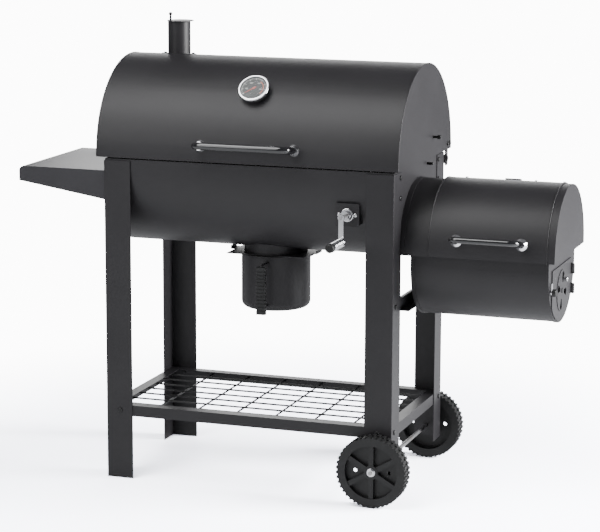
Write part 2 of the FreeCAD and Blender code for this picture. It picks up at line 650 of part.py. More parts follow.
# ---------------------------------------------------------------- barrel
def barrel_shell():
    """Rolled lower half of the barrel, with its drain hole, crank holes and middle grate rest."""
    z_mid, r = BARREL_CENTRE_Z, BARREL_RADIUS
    outer = trough(-BARREL_HALF + SKIN, BARREL_HALF - SKIN, 0, z_mid, r, BARREL_RIM)
    inner = trough(-BARREL_HALF, BARREL_HALF, 0, z_mid, r - SKIN, BARREL_RIM + 5)
    rest = box(-10, 10, -r, r, GRATE_REST_TOP - GRATE_REST, GRATE_REST_TOP)
    shell = outer.cut(inner).fuse(rest.common(outer)).removeSplitter()
    drain = Part.makeCylinder(DRAIN_RADIUS, 40, V(0, 0, BARREL_BOTTOM - 10))
    front = rod(V(CRANK_X, -HALF_D, CRANK_Z), V(CRANK_X, 0, CRANK_Z), CRANK_ROD + 1.0)
    rear = rod(V(CRANK_X, 0, CRANK_Z), V(CRANK_X, HALF_D, CRANK_Z), CRANK_ROD + RUNNING_FIT)
    return shell.cut(drain).cut(front).cut(rear)


def grate_ledge(side):
    """Rest for the grates, welded on the inside of an end plate."""
    x0, x1 = sorted((side * (BARREL_HALF - SKIN), side * (BARREL_HALF - 16.0)))
    half = BARREL_BOLT_Y - 10.0
    return box(x0, x1, -half, half, GRATE_REST_TOP - GRATE_REST, GRATE_REST_TOP)


def barrel_end_left():
    plate = trough(-BARREL_HALF, -BARREL_HALF + SKIN, 0, BARREL_CENTRE_Z, BARREL_RADIUS, BARREL_RIM)
    plate = plate.fuse(grate_ledge(-1)).removeSplitter()
    return plate.cut(holes(barrel_bolt_seats(-1) + table_seats(), V(-1, 0, 0), 8.0))


def barrel_end_right():
    """End plate that also closes the space between the right legs, with the smoke opening."""
    x0, x1 = BARREL_HALF - SKIN, BARREL_HALF
    panel = box(x0, x1, -BARREL_RADIUS, BARREL_RADIUS, FIREBOX_RIM, BARREL_RIM)
    plate = fuse_all([panel, trough(x0, x1, 0, BARREL_CENTRE_Z, BARREL_RADIUS, BARREL_RIM), grate_ledge(1)])
    mouth = dome(x0 - 1, x1 + 1, FIREBOX_Y, FIREBOX_LID_Z, COLLAR_RADIUS - 22.0, FIREBOX_SPLIT + 14.0)
    keep = trough(x0 - 1, x1 + 1, 0, BARREL_CENTRE_Z, BARREL_RADIUS - 8.0, BARREL_RIM)
    plate = plate.cut(mouth.common(keep))
    plate = plate.cut(holes([end_pin_seat()], V(1, 0, 0), 8.0, 2.6))
    return plate.cut(holes(barrel_bolt_seats(1), V(1, 0, 0), 8.0))


def cooking_grates():
    """Two wire grates side by side, on the rests."""
    half_y = math.sqrt((BARREL_RADIUS - SKIN) ** 2 - (GRATE_Z - BARREL_CENTRE_Z) ** 2) - 5.0
    length = BARREL_HALF - SKIN - GRATE_GAP * 1.5
    grates = []
    for side in (-1, 1):
        near, far = GRATE_GAP / 2 * side, side * (GRATE_GAP / 2 + length)
        wires = []
        for y in (-half_y, -half_y / 3, half_y / 3, half_y):
            wires.append(rod(V(near, y, GRATE_Z - 4.0), V(far, y, GRATE_Z - 4.0), GRATE_WIRE))
        count = 17
        for step in range(count):
            x = near + side * (5.0 + (length - 10.0) * step / (count - 1))
            wires.append(rod(V(x, -half_y, GRATE_Z), V(x, half_y, GRATE_Z), GRATE_WIRE))
        grates.append(fuse_all(wires))
    return group(grates)


def charcoal_pan():
    """Folded tray with sloping ends, on two cross rails that the lifter pushes up."""
    def tray(grow, floor):
        b, t = PAN_BOTTOM_HALF + grow, PAN_TOP_HALF + grow
        top = PAN_BOTTOM + PAN_HEIGHT + (5.0 if floor else 0.0)
        lift = (t - b) / PAN_HEIGHT * (top - PAN_BOTTOM - PAN_HEIGHT)
        y = PAN_DEPTH / 2 + grow
        points = [V(-b, -y, PAN_BOTTOM + floor), V(b, -y, PAN_BOTTOM + floor),
                  V(t + lift, -y, top), V(-t - lift, -y, top)]
        return prism(points, V(0, 2 * y, 0))
    pan = tray(0.0, 0.0).cut(tray(-PAN_SHEET, PAN_SHEET))
    slots = []
    for row in (-1, 0, 1):
        for column in range(-4, 5):
            x, y = column * 40.0, row * 70.0
            slots.append(box(x - 4, x + 4, y - 22, y + 22, PAN_BOTTOM - 1, PAN_BOTTOM + 5))
    pan = pan.cut(group(slots))
    rails = []
    for y in (-35.0, 35.0):
        reach = CRANK_X - LIFT_ARM * 0.4
        rails.append(box(-PAN_BOTTOM_HALF, reach, y - 6, y + 6, PAN_BOTTOM - PAN_RAIL, PAN_BOTTOM))
    return fuse_all([pan] + rails)


def lift_point(y):
    turn = math.radians(LIFT_REST)
    return V(CRANK_X - LIFT_ARM * math.cos(turn), y, CRANK_Z + LIFT_ARM * math.sin(turn))


def crank_shaft():
    """Rod across the barrel, bent into a lifting bail under the pan."""
    half = LIFT_HALF
    tip = V(CRANK_X, CRANK_ARM_Y - 4.0, CRANK_Z)
    return bent_tube([tip, V(CRANK_X, -half, CRANK_Z), lift_point(-half), lift_point(half),
                      V(CRANK_X, half, CRANK_Z), V(CRANK_X, CRANK_END, CRANK_Z)],
                     8.0, CRANK_ROD)


def crank_bracket():
    """Black bearing plate on the barrel's front, on two cheeks that follow the curve."""
    y0 = CRANK_FACE_Y
    plate = box(CRANK_X - 29, CRANK_X + 29, y0, y0 + 2.0, CRANK_Z - 27, CRANK_Z + 27)
    edges = [e for e in plate.Edges if abs(e.Length - 2.0) < 0.01]
    plate = plate.makeFillet(4.0, edges)
    cheeks = [box(CRANK_X + dx, CRANK_X + dx + 2.0, y0 + 1.0, y0 + 70.0, CRANK_Z - 23, CRANK_Z + 23)
              for dx in (-29.0, 27.0)]
    drum = trough(-BARREL_HALF, BARREL_HALF, 0, BARREL_CENTRE_Z, BARREL_RADIUS, BARREL_RIM)
    bracket = fuse_all([plate] + cheeks).cut(drum)
    bore = rod(V(CRANK_X, y0 - 5, CRANK_Z), V(CRANK_X, y0 + 90, CRANK_Z), CRANK_ROD + RUNNING_FIT)
    seats = [V(CRANK_X + dx, y0, CRANK_Z) for dx in (-20.0, 20.0)]
    return bracket.cut(bore).cut(holes(seats, V(0, -1, 0), 8.0))


def crank_bearing():
    """Chrome bearing collar in front of the plate, with its two bolts."""
    y0 = CRANK_FACE_Y
    front = V(CRANK_X, y0 - 5.0, CRANK_Z)
    disc = rod(V(CRANK_X, y0, CRANK_Z), front, 16.0)
    disc = disc.makeFillet(2.0, [e for e in disc.Edges if len(e.Vertexes) == 1
                                 and e.CenterOfMass.y < y0 - 1])
    boss = rod(front, V(CRANK_X, y0 - 12.0, CRANK_Z), 9.0)
    collar = disc.fuse(boss)
    bore = rod(V(CRANK_X, y0 + 5, CRANK_Z), V(CRANK_X, y0 - 15, CRANK_Z), CRANK_ROD + RUNNING_FIT)
    parts = [collar.cut(bore)]
    for dx in (-20.0, 20.0):
        parts.append(bolt(V(CRANK_X + dx, y0, CRANK_Z), V(0, -1, 0), 6.0, 4.6, 3.4))
    return group(parts)


def crank_arm():
    """Flat arm from the shaft down to the grip's pin."""
    y = CRANK_ARM_Y
    z_end = CRANK_Z - CRANK_ARM
    blade = box(CRANK_X - 6, CRANK_X + 6, y - 1.5, y + 1.5, z_end, CRANK_Z)
    top = rod(V(CRANK_X, y - 1.5, CRANK_Z), V(CRANK_X, y + 1.5, CRANK_Z), 8.0)
    low = rod(V(CRANK_X, y - 1.5, z_end), V(CRANK_X, y + 1.5, z_end), 6.0)
    shaft_hole = rod(V(CRANK_X, y - 3, CRANK_Z), V(CRANK_X, y + 3, CRANK_Z), CRANK_ROD)
    pin = rod(V(CRANK_X, y, z_end), V(CRANK_X, y - GRIP_LENGTH - 2.0, z_end), GRIP_PIN)
    return fuse_all([blade, top, low]).cut(shaft_hole).fuse(pin).removeSplitter()


def grip_axis(back):
    return V(CRANK_X, CRANK_ARM_Y - 2.0 - back, CRANK_Z - CRANK_ARM)


def crank_grip():
    """Coil-wire grip: a sleeve with a spring wound round it."""
    start = grip_axis(0.5)
    length = GRIP_LENGTH - 10.0
    bore = GRIP_PIN + RUNNING_FIT
    sleeve = pipe(start, start + V(0, -length, 0), 4.4, bore)
    ends = [pipe(start, start + V(0, -3.0, 0), GRIP_RADIUS, bore),
            pipe(start + V(0, -length + 3.0, 0), start + V(0, -length, 0), GRIP_RADIUS, bore)]
    height = length - 2 * (3.0 + GRIP_WIRE + 0.05)
    helix = Part.makeHelix(height / GRIP_TURNS, height, GRIP_RADIUS - GRIP_WIRE)
    edge = helix.Edges[0]
    first = edge.FirstParameter
    profile = Part.Wire(Part.makeCircle(GRIP_WIRE, edge.valueAt(first), edge.tangentAt(first)))
    coil = Part.Wire(helix.Edges).makePipeShell([profile], True, True)
    coil.Placement = FreeCAD.Placement(start + V(0, -3.05 - GRIP_WIRE, 0),
                                       FreeCAD.Rotation(V(0, 0, 1), V(0, -1, 0)))
    return group([fuse_all([sleeve] + ends), coil])


def grip_knob():
    """Black round end cap of the grip, pressed on the pin."""
    base = grip_axis(GRIP_LENGTH - 8.5)
    cap = rod(base, base + V(0, -10.0, 0), GRIP_RADIUS - 0.5)
    far = [e for e in cap.Edges if len(e.Vertexes) == 1 and abs(e.CenterOfMass.y - base.y + 10.0) < 0.01]
    cap = cap.makeFillet(4.0, far)
    return cap.cut(rod(base + V(0, 1, 0), base + V(0, -8.5, 0), GRIP_PIN))


# ---------------------------------------------------------------- main lid
def chimney_seats():
    """Where the flue's screws meet the lid, left and right of the flue."""
    reach = CHIMNEY_RADIUS + 9.0
    return [on_circle(CHIMNEY_X + dx, LID_CENTRE_Y, LID_CENTRE_Z, LID_RADIUS, SADDLE_ANGLE)
            for dx in (-reach, reach)]


def handle_feet(span, centre_x, y_mid, z_mid, radius, angle):
    return [on_circle(centre_x + side * span / 2, y_mid, z_mid, radius, angle) for side in (-1, 1)]


def lid_handle_feet():
    return handle_feet(HANDLE_SPAN, 0.0, LID_CENTRE_Y, LID_CENTRE_Z, LID_RADIUS, HANDLE_ANGLE)


def firebox_handle_feet():
    return handle_feet(FIREBOX_HANDLE_SPAN, FIREBOX_HANDLE_CENTRE, FIREBOX_Y, FIREBOX_LID_Z,
                       FIREBOX_LID_RADIUS, FIREBOX_HANDLE_ANGLE)


def lid_skin():
    skin = dome(LID_LEFT, LID_RIGHT, LID_CENTRE_Y, LID_CENTRE_Z, LID_RADIUS, LID_SPLIT)
    skin = skin.cut(dome(LID_LEFT - 1, LID_RIGHT + 1, LID_CENTRE_Y, LID_CENTRE_Z, LID_RADIUS - SKIN,
                         LID_SPLIT - 5))
    skin = skin.cut(rod(V(CHIMNEY_X, CHIMNEY_Y, LID_CENTRE_Z), V(CHIMNEY_X, CHIMNEY_Y, CHIMNEY_TOP),
                        CHIMNEY_RADIUS + 0.1))
    skin = skin.cut(holes(lid_handle_feet(), outward(HANDLE_ANGLE), 8.0))
    out = outward(THERMOMETER_ANGLE)
    seat = thermometer_seat()
    skin = skin.cut(rod(seat - out * 10, seat + out * 10, THREAD_RADIUS + 0.2))
    return skin.cut(holes(chimney_seats(), outward(SADDLE_ANGLE), 8.0, SMALL_SCREW_HOLE))


def lid_end(side):
    """Flat end cap with a return flange inside the skin."""
    x_out = LID_LEFT if side < 0 else LID_RIGHT
    x_in = x_out - side * CAP_FLANGE
    x0, x1 = sorted((x_out, x_in))
    outer = dome(x0, x1, LID_CENTRE_Y, LID_CENTRE_Z, LID_RADIUS - SKIN, LID_SPLIT)
    hollow0, hollow1 = sorted((x_out - side * SKIN, x_in - side * 1.0))
    inner = dome(hollow0, hollow1, LID_CENTRE_Y, LID_CENTRE_Z, LID_RADIUS - 2 * SKIN, LID_SPLIT - 5)
    cap = outer.cut(inner)
    seats = hinge_tab_seats(side)
    if side > 0:
        seats.append(V(x_out, PEG_Y, PEG_Z))
    return cap.cut(holes(seats, V(side, 0, 0), 10.0))


def hinge_tab_seats(side):
    x_out = LID_LEFT if side < 0 else LID_RIGHT
    return [V(x_out, HINGE_Y - 6.0 + dy, LID_SPLIT + 14.0) for dy in (-9.0, 9.0)]


def lid_hinge_tab(side):
    """Plate on the inside of the lid's end cap, reaching down to the pivot."""
    x_out = LID_LEFT if side < 0 else LID_RIGHT
    x_cap = x_out - side * SKIN
    x0, x1 = sorted((x_cap, side * (HALF_L + 1.0)))
    z_low = HINGE_Z - 18.0
    y0, y1 = HINGE_Y - 22.0, HINGE_Y + 12.0
    near = sorted((side * (HALF_L + 1.0), side * (HALF_L + 3.5)))
    cheek = box(near[0], near[1], HINGE_Y - 9.0, y1, z_low, LID_SPLIT + 4)
    step = box(x0, x1, y0, y1, LID_SPLIT + 2.0, LID_SPLIT + 4.5)
    far = sorted((x_cap, x_cap - side * 2.5))
    flag = box(far[0], far[1], y0, y1, LID_SPLIT + 2.0, LID_SPLIT + 24.0)
    skin = dome(x0 - 1, x1 + 1, LID_CENTRE_Y, LID_CENTRE_Z, LID_RADIUS - 2 * SKIN - 0.4, LID_SPLIT - 30)
    tab = fuse_all([cheek, step.common(skin), flag.common(skin)])
    corner = [e for e in tab.Edges if abs(e.CenterOfMass.z - z_low) < 0.01 and abs(e.Length - 2.5) < 0.01]
    tab = tab.makeFillet(8.0, corner)
    tab = tab.cut(rod(V(x0 - 5, HINGE_Y, HINGE_Z), V(x1 + 5, HINGE_Y, HINGE_Z),
                      HINGE_PIN_RADIUS + RUNNING_FIT))
    return tab.cut(holes(hinge_tab_seats(side), V(side, 0, 0), 10.0))


def lid_hinge_brackets():
    """Brackets on the backs of the rear legs that hold the pivot pins."""
    parts = []
    for side in (-1, 1):
        x_face = side * HALF_L
        x0, x1 = sorted((x_face, x_face - side * 3.0))
        ear = box(x0, x1, HALF_D, HINGE_Y + 9.0, HINGE_Z - 12.0, HINGE_Z + 9.0)
        base0, base1 = sorted((x_face, x_face - side * 34.0))
        base = box(base0, base1, HALF_D, HALF_D + 3.0, HINGE_Z - 12.0, HINGE_Z + 9.0)
        head = side * (HALF_L + 4.0)
        pin = rod(V(x_face - side * 3.0, HINGE_Y, HINGE_Z), V(head, HINGE_Y, HINGE_Z), HINGE_PIN_RADIUS)
        knob = rod(V(head, HINGE_Y, HINGE_Z), V(head + side * 2.5, HINGE_Y, HINGE_Z), 6.5)
        parts.append(fuse_all([ear, base, pin, knob]))
    return group(parts)


def lid_fasteners():
    """Handle screws, chimney screws, hinge bolts and the stop peg on the lid."""
    parts = []
    parts += handle_bolts(lid_handle_feet(), HANDLE_ANGLE)
    out = outward(SADDLE_ANGLE)
    for seat in chimney_seats():
        parts.append(bolt(seat + out * SADDLE_SHEET, out, 6.0, SMALL_SCREW_HEAD, 2.4, SMALL_SCREW))
    for side in (-1, 1):
        for seat in hinge_tab_seats(side):
            parts.append(bolt(seat, V(side, 0, 0), 7.0))
    peg_seat = V(LID_RIGHT, PEG_Y, PEG_Z)
    parts.append(bolt(peg_seat - V(SKIN, 0, 0), V(-1, 0, 0), SKIN + 19.0))
    return group(parts + [peg_nut()] + thermometer_nuts())


def handle_bolts(feet, angle):
    """Bolts from inside a lid into the plugs of its handle."""
    inner = outward(angle) * -1
    return [bolt(foot + inner * (SKIN + 0.12), inner, SKIN + 8.0) for foot in feet]


def peg_nut():
    """Acorn nut on the lid's stop peg."""
    seat = V(LID_RIGHT + 12.0, PEG_Y, PEG_Z)
    nut = Part.makeCylinder(5.0, 9.0, seat, V(1, 0, 0))
    nut = nut.makeFillet(3.5, [e for e in nut.Edges if len(e.Vertexes) == 1
                               and e.CenterOfMass.x > seat.x + 5])
    return nut.cut(Part.makeCylinder(BOLT_SHANK, 7.2, seat - V(0.1, 0, 0), V(1, 0, 0)))


def bar_handle(feet, angle, outer, standoff, wall):
    """U-shaped bent tube standing square off the lid, with a threaded plug in each end."""
    out = outward(angle)
    near, far = feet
    points = [near + out * ROSETTE_SEAT, near + out * standoff,
              far + out * standoff, far + out * ROSETTE_SEAT]
    tube = bent_tube(points, outer * 2.4, outer, outer - wall)
    plugs = [pipe(foot + out * ROSETTE_SEAT, foot + out * (ROSETTE_SEAT + 8.0), outer - wall, BOLT_SHANK)
             for foot in feet]
    return fuse_all([tube] + plugs)


def rosettes(feet, angle, tube, radius):
    """Chrome cup washers at the handle's feet."""
    out = outward(angle)
    parts = []
    for foot in feet:
        cup = Part.makeCone(radius, tube + 1.5, ROSETTE_HEIGHT, foot, out)
        cup = cup.cut(Part.makeCylinder(tube, ROSETTE_HEIGHT, foot + out * ROSETTE_SEAT, out))
        parts.append(cup.cut(Part.makeCylinder(BOLT_SHANK + 0.2, 20.0, foot - out * 5, out)))
    return parts


# ---------------------------------------------------------------- thermometer
def thermometer_seat():
    return on_circle(THERMOMETER_X, LID_CENTRE_Y, LID_CENTRE_Z, LID_RADIUS, THERMOMETER_ANGLE)


def thermometer_case():
    """Chrome case with its rolled bezel, and the threaded stem through the lid."""
    out, seat = outward(THERMOMETER_ANGLE), thermometer_seat()
    r = THERMOMETER_RADIUS
    back = rod(seat + out * CASE_STANDOFF, seat + out * 17.0, r - 4.0)
    bezel = rod(seat + out * 13.0, seat + out * 19.0, r)
    bezel = bezel.makeFillet(2.6, [e for e in bezel.Edges if len(e.Vertexes) == 1])
    stem = rod(seat - out * 55.0, seat + out * 7.0, 2.5)
    thread = rod(seat - out * 9.0, seat + out * 7.0, THREAD_RADIUS)
    case = fuse_all([back, bezel, stem, thread])
    return case.cut(rod(seat + out * 15.0, seat + out * 20.0, DIAL_RADIUS))


def thermometer_nuts():
    """Nuts on the thermometer's thread, outside and inside the lid."""
    out, seat = outward(THERMOMETER_ANGLE), thermometer_seat()
    hole = THREAD_RADIUS + RUNNING_FIT
    outer = hex_nut(seat + out * 0.1, out, OUTER_NUT, CASE_STANDOFF - 0.2, hole)
    inner_seat = seat - out * (SKIN + 0.3 + INNER_NUT_HEIGHT)
    inner = hex_nut(inner_seat, out, INNER_NUT, INNER_NUT_HEIGHT, hole)
    return [outer, inner]


def thermometer_dial():
    out, seat = outward(THERMOMETER_ANGLE), thermometer_seat()
    dial = rod(seat + out * 15.0, seat + out * 15.6, DIAL_RADIUS)
    return dial.cut(rod(seat + out * 14.0, seat + out * 17.0, 1.3))


def thermometer_pointer():
    """Tapered pointer on a small spindle."""
    out, seat = outward(THERMOMETER_ANGLE), thermometer_seat()
    up = V(1, 0, 0).cross(out) * -1
    side = V(1, 0, 0)
    base = seat + out * 16.2
    turn = FreeCAD.Rotation(out, POINTER_REST)
    tip = turn.multVec(up)
    across = turn.multVec(side)
    points = [base + across * 1.6 - tip * 7.0, base + across * 0.5 + tip * 24.0,
              base - across * 0.5 + tip * 24.0, base - across * 1.6 - tip * 7.0]
    blade = prism(points, out * 0.5)
    hub = rod(base - out * 0.3, base + out * 1.0, 3.0)
    spindle = rod(base - out * 1.1, base, 1.2)
    return fuse_all([blade, hub, spindle])


def thermometer_glass():
    out, seat = outward(THERMOMETER_ANGLE), thermometer_seat()
    return rod(seat + out * 17.6, seat + out * 18.6, DIAL_RADIUS)


# ---------------------------------------------------------------- chimney
def chimney_tube():
    """Short flue with its saddle flange on the lid and its pivot sleeve inside the wall."""
    bottom = LID_CENTRE_Z + LID_RADIUS - 20.0
    tube = pipe(V(CHIMNEY_X, CHIMNEY_Y, bottom), V(CHIMNEY_X, CHIMNEY_Y, CHIMNEY_TOP),
                CHIMNEY_RADIUS, CHIMNEY_RADIUS - CHIMNEY_WALL)
    sleeve = rod(V(PIVOT_X, CHIMNEY_Y, CHIMNEY_TOP - 26), V(PIVOT_X, CHIMNEY_Y, CHIMNEY_TOP),
                 PIVOT_SLEEVE)
    tube = fuse_all([tube, sleeve, chimney_saddle()])
    return tube.cut(rod(V(PIVOT_X, CHIMNEY_Y, CHIMNEY_TOP - 30), V(PIVOT_X, CHIMNEY_Y, CHIMNEY_TOP + 5),
                        PIVOT_ROD + RUNNING_FIT))


def chimney_saddle():
    """Flange that follows the lid's curve, with an ear for each screw."""
    half = CHIMNEY_RADIUS + 15.0
    shell = dome(CHIMNEY_X - half, CHIMNEY_X + half, LID_CENTRE_Y, LID_CENTRE_Z,
                 LID_RADIUS + SADDLE_SHEET, LID_CENTRE_Z)
    shell = shell.cut(dome(CHIMNEY_X - half - 1, CHIMNEY_X + half + 1, LID_CENTRE_Y, LID_CENTRE_Z,
                           LID_RADIUS, LID_CENTRE_Z - 5))
    pad = Part.makeCylinder(CHIMNEY_RADIUS + 5.0, 300, V(CHIMNEY_X, CHIMNEY_Y, LID_CENTRE_Z))
    ears = box(CHIMNEY_X - half, CHIMNEY_X + half, CHIMNEY_Y - 9, CHIMNEY_Y + 9, LID_CENTRE_Z, CHIMNEY_TOP)
    plate = shell.common(pad.fuse(ears))
    bore = Part.makeCylinder(CHIMNEY_RADIUS - CHIMNEY_WALL / 2, 300, V(CHIMNEY_X, CHIMNEY_Y, LID_CENTRE_Z))
    return plate.cut(bore).cut(holes(chimney_seats(), outward(SADDLE_ANGLE), 10.0, SMALL_SCREW_HOLE))


def chimney_cap():
    """Flat swivel disc on top of the flue."""
    z0 = CHIMNEY_TOP + 0.3
    centre = V(CHIMNEY_X + 3.5, CHIMNEY_Y, z0)
    disc = Part.makeCylinder(DAMPER_RADIUS, DAMPER_SHEET, centre)
    return disc.cut(Part.makeCylinder(PIVOT_ROD, 10, V(PIVOT_X, CHIMNEY_Y, z0 - 3)))


def cap_knob():
    """Pivot rod of the cap, with the ball that turns it."""
    z0 = CHIMNEY_TOP + 0.3
    low = V(PIVOT_X, CHIMNEY_Y, CHIMNEY_TOP - 29.0)
    stem = rod(low, V(PIVOT_X, CHIMNEY_Y, z0 + DAMPER_SHEET + 12.0), PIVOT_ROD)
    collar = rod(V(PIVOT_X, CHIMNEY_Y, z0 + DAMPER_SHEET), V(PIVOT_X, CHIMNEY_Y, z0 + DAMPER_SHEET + 9), 2.8)
    ball = Part.makeSphere(KNOB_RADIUS, V(PIVOT_X, CHIMNEY_Y, z0 + DAMPER_SHEET + 15.0))
    foot = rod(low - V(0, 0, 2.0), low, PIVOT_FOOT)
    return fuse_all([stem, collar, ball, foot])


# ---------------------------------------------------------------- firebox
def firebox_collar():
    """Half-round sleeve from the barrel's end plate to the firebox, under the lid's inner end."""
    x0, x1 = BARREL_HALF, COLLAR_RIGHT
    sleeve = dome(x0, x1, FIREBOX_Y, FIREBOX_LID_Z, COLLAR_RADIUS, FIREBOX_RIM)
    band = dome(x0, x0 + COLLAR_BAND, FIREBOX_Y, FIREBOX_LID_Z, COLLAR_RADIUS + 1.2, FIREBOX_RIM)
    inside = dome(x0 + SKIN, x1 + 1, FIREBOX_Y, FIREBOX_LID_Z, COLLAR_RADIUS - SKIN, FIREBOX_RIM - 5)
    mouth = dome(x0 - 1, x0 + SKIN + 1, FIREBOX_Y, FIREBOX_LID_Z, COLLAR_RADIUS - CAP_FLANGE,
                 FIREBOX_RIM + SKIN)
    pieces = [sleeve.fuse(band).cut(inside).cut(mouth)]
    wide, narrow = COLLAR_RADIUS - SKIN / 2, FIREBOX_SKIN_RADIUS - SKIN
    pieces.append(box(x0, BODY_LEFT + SKIN, FIREBOX_Y - wide, FIREBOX_Y + wide,
                      FIREBOX_RIM, FIREBOX_RIM + SKIN))
    for side in (-1, 1):
        y0, y1 = sorted((FIREBOX_Y + side * wide, FIREBOX_Y + side * narrow))
        pieces.append(box(BODY_LEFT, x1, y0, y1, FIREBOX_RIM, FIREBOX_RIM + SKIN))
    collar = fuse_all(pieces)
    for side in (-1, 1):
        y0, y1 = sorted((side * (HALF_D - LEG_FLANGE - 0.2), side * HALF_D))
        collar = collar.cut(box(x0 - 1, HALF_L + 0.2, y0, y1, FIREBOX_RIM - 5, BARREL_RIM))
    return collar


def firebox_trough(x0, x1, radius, top=FIREBOX_RIM):
    return trough(x0, x1, FIREBOX_Y, FIREBOX_BODY_Z, radius, top)


def firebox_shell():
    """Rolled trough between the two end plates."""
    x0, x1 = BODY_LEFT + SKIN, BODY_RIGHT - SKIN
    skin = firebox_trough(x0, x1, FIREBOX_SKIN_RADIUS)
    return skin.cut(firebox_trough(x0 - 1, x1 + 1, FIREBOX_SKIN_RADIUS - SKIN, FIREBOX_RIM + 5))


def firebox_end(x_out, inward):
    """Pressed end plate whose rim laps over the skin."""
    x_in = x_out + inward * END_LAP
    drum = firebox_trough(min(x_out, x_in), max(x_out, x_in), FIREBOX_END_RADIUS)
    x0, x1 = sorted((x_out + inward * SKIN, x_in + inward))
    return drum.cut(firebox_trough(x0, x1, FIREBOX_SKIN_RADIUS, FIREBOX_RIM + 5))


def firebox_end_left():
    return firebox_end(BODY_LEFT, 1)


def door_outline(x0, x1, grow):
    """Plate with a straight top, two upright edges and a round bottom."""
    plate = trough(x0, x1, DOOR_MID_Y, DOOR_MID_Z, DOOR_RADIUS + grow, DOOR_TOP + grow)
    return plate.common(box(x0 - 1, x1 + 1, DOOR_FRONT_Y - grow, DOOR_REAR_Y + grow, 0, DOOR_TOP + grow))


def firebox_end_right():
    """Outer end plate with the ash opening and the hole for the latch."""
    plate = firebox_end(BODY_RIGHT, -1)
    plate = plate.cut(door_outline(BODY_RIGHT - SKIN - 1, BODY_RIGHT + 1, -DOOR_OVERLAP))
    return plate.cut(rod(V(BODY_RIGHT - 5, LATCH_Y, LATCH_Z), V(BODY_RIGHT + 5, LATCH_Y, LATCH_Z),
                         LATCH_STUD + RUNNING_FIT))


def fire_grate():
    """Wire grate low in the firebox, resting on the curve of the trough."""
    drop = FIREBOX_BODY_Z - FIRE_GRATE_Z + GRATE_WIRE
    half_y = math.sqrt((FIREBOX_SKIN_RADIUS - SKIN) ** 2 - drop ** 2)
    x0, x1 = BODY_LEFT + 10.0, BODY_RIGHT - 10.0
    wires = []
    for y in (FIREBOX_Y - half_y + 14.0, FIREBOX_Y + half_y - 14.0):
        wires.append(rod(V(x0, y, FIRE_GRATE_Z + 4.0), V(x1, y, FIRE_GRATE_Z + 4.0), GRATE_WIRE))
    count = 19
    for step in range(count):
        x = x0 + 6.0 + (x1 - x0 - 12.0) * step / (count - 1)
        wires.append(rod(V(x, FIREBOX_Y - half_y, FIRE_GRATE_Z), V(x, FIREBOX_Y + half_y, FIRE_GRATE_Z),
                         GRATE_WIRE))
    return fuse_all(wires)


def hinge_places():
    return [FIREBOX_LID_LEFT + FIREBOX_HINGE_INSET, BODY_RIGHT - FIREBOX_HINGE_INSET]


def firebox_lid_hinge(x):
    """Fixed half of a lid hinge: a leaf on the trough's back with a middle knuckle and the pin."""
    y, z = FIREBOX_HINGE_Y, FIREBOX_HINGE_Z
    leaf = box(x - FIREBOX_LEAF, x + FIREBOX_LEAF, FIREBOX_REAR, FIREBOX_REAR + 2.5,
               FIREBOX_BODY_Z, FIREBOX_RIM - 1)
    arm = box(x - 6.5, x + 6.5, FIREBOX_REAR, y, z - FIREBOX_KNUCKLE, z + 1.0)
    knuckle = rod(V(x - 6.5, y, z), V(x + 6.5, y, z), FIREBOX_KNUCKLE)
    reach = FIREBOX_LEAF + 2.0
    pin = rod(V(x - reach, y, z), V(x + reach, y, z), FIREBOX_HINGE_RADIUS)
    heads = [rod(V(x + side * (reach - 1.5), y, z), V(x + side * reach, y, z), 5.0) for side in (-1, 1)]
    return fuse_all([leaf, arm, knuckle, pin] + heads)


def door_hinge(z):
    """Fixed half of a door hinge: a strap and a lug with an upright pin."""
    strap = box(BODY_RIGHT, BODY_RIGHT + 2.0, DOOR_HINGE_Y + 4.0, DOOR_HINGE_Y + 10.0, z - 13.0, z + 12.0)
    lug = box(BODY_RIGHT, DOOR_HINGE_X + 3.5, DOOR_HINGE_Y - 4.0, DOOR_HINGE_Y + 7.0, z - 13.0, z - 9.4)
    foot = V(DOOR_HINGE_X, DOOR_HINGE_Y, z - 13.0)
    pin = rod(foot, foot + V(0, 0, 24.0), DOOR_PIN_RADIUS)
    head = rod(foot + V(0, 0, 22.4), foot + V(0, 0, 24.4), 3.8)
    return fuse_all([strap, lug, pin, head])


def firebox_hinge_brackets():
    """Fixed halves of the lid's and the door's hinges."""
    return group([firebox_lid_hinge(x) for x in hinge_places()] +
                 [door_hinge(z) for z in DOOR_HINGE_LEVELS])


def firebox_top_seats():
    return [on_circle(x, FIREBOX_Y, FIREBOX_LID_Z, FIREBOX_LID_RADIUS, FITTING_ANGLE)
            for x in FITTING_PLACES]


def firebox_lid_skin():
    """Rolled upper half of the firebox."""
    skin = dome(FIREBOX_LID_LEFT, BODY_RIGHT, FIREBOX_Y, FIREBOX_LID_Z, FIREBOX_LID_RADIUS, FIREBOX_SPLIT)
    skin = skin.cut(dome(FIREBOX_LID_LEFT - 1, BODY_RIGHT + 1, FIREBOX_Y, FIREBOX_LID_Z,
                         FIREBOX_LID_RADIUS - SKIN, FIREBOX_SPLIT - 5))
    skin = skin.cut(holes(firebox_handle_feet(), outward(FIREBOX_HANDLE_ANGLE), 8.0))
    return skin.cut(holes(firebox_top_seats(), outward(FITTING_ANGLE), 8.0, SMALL_SCREW_HOLE))


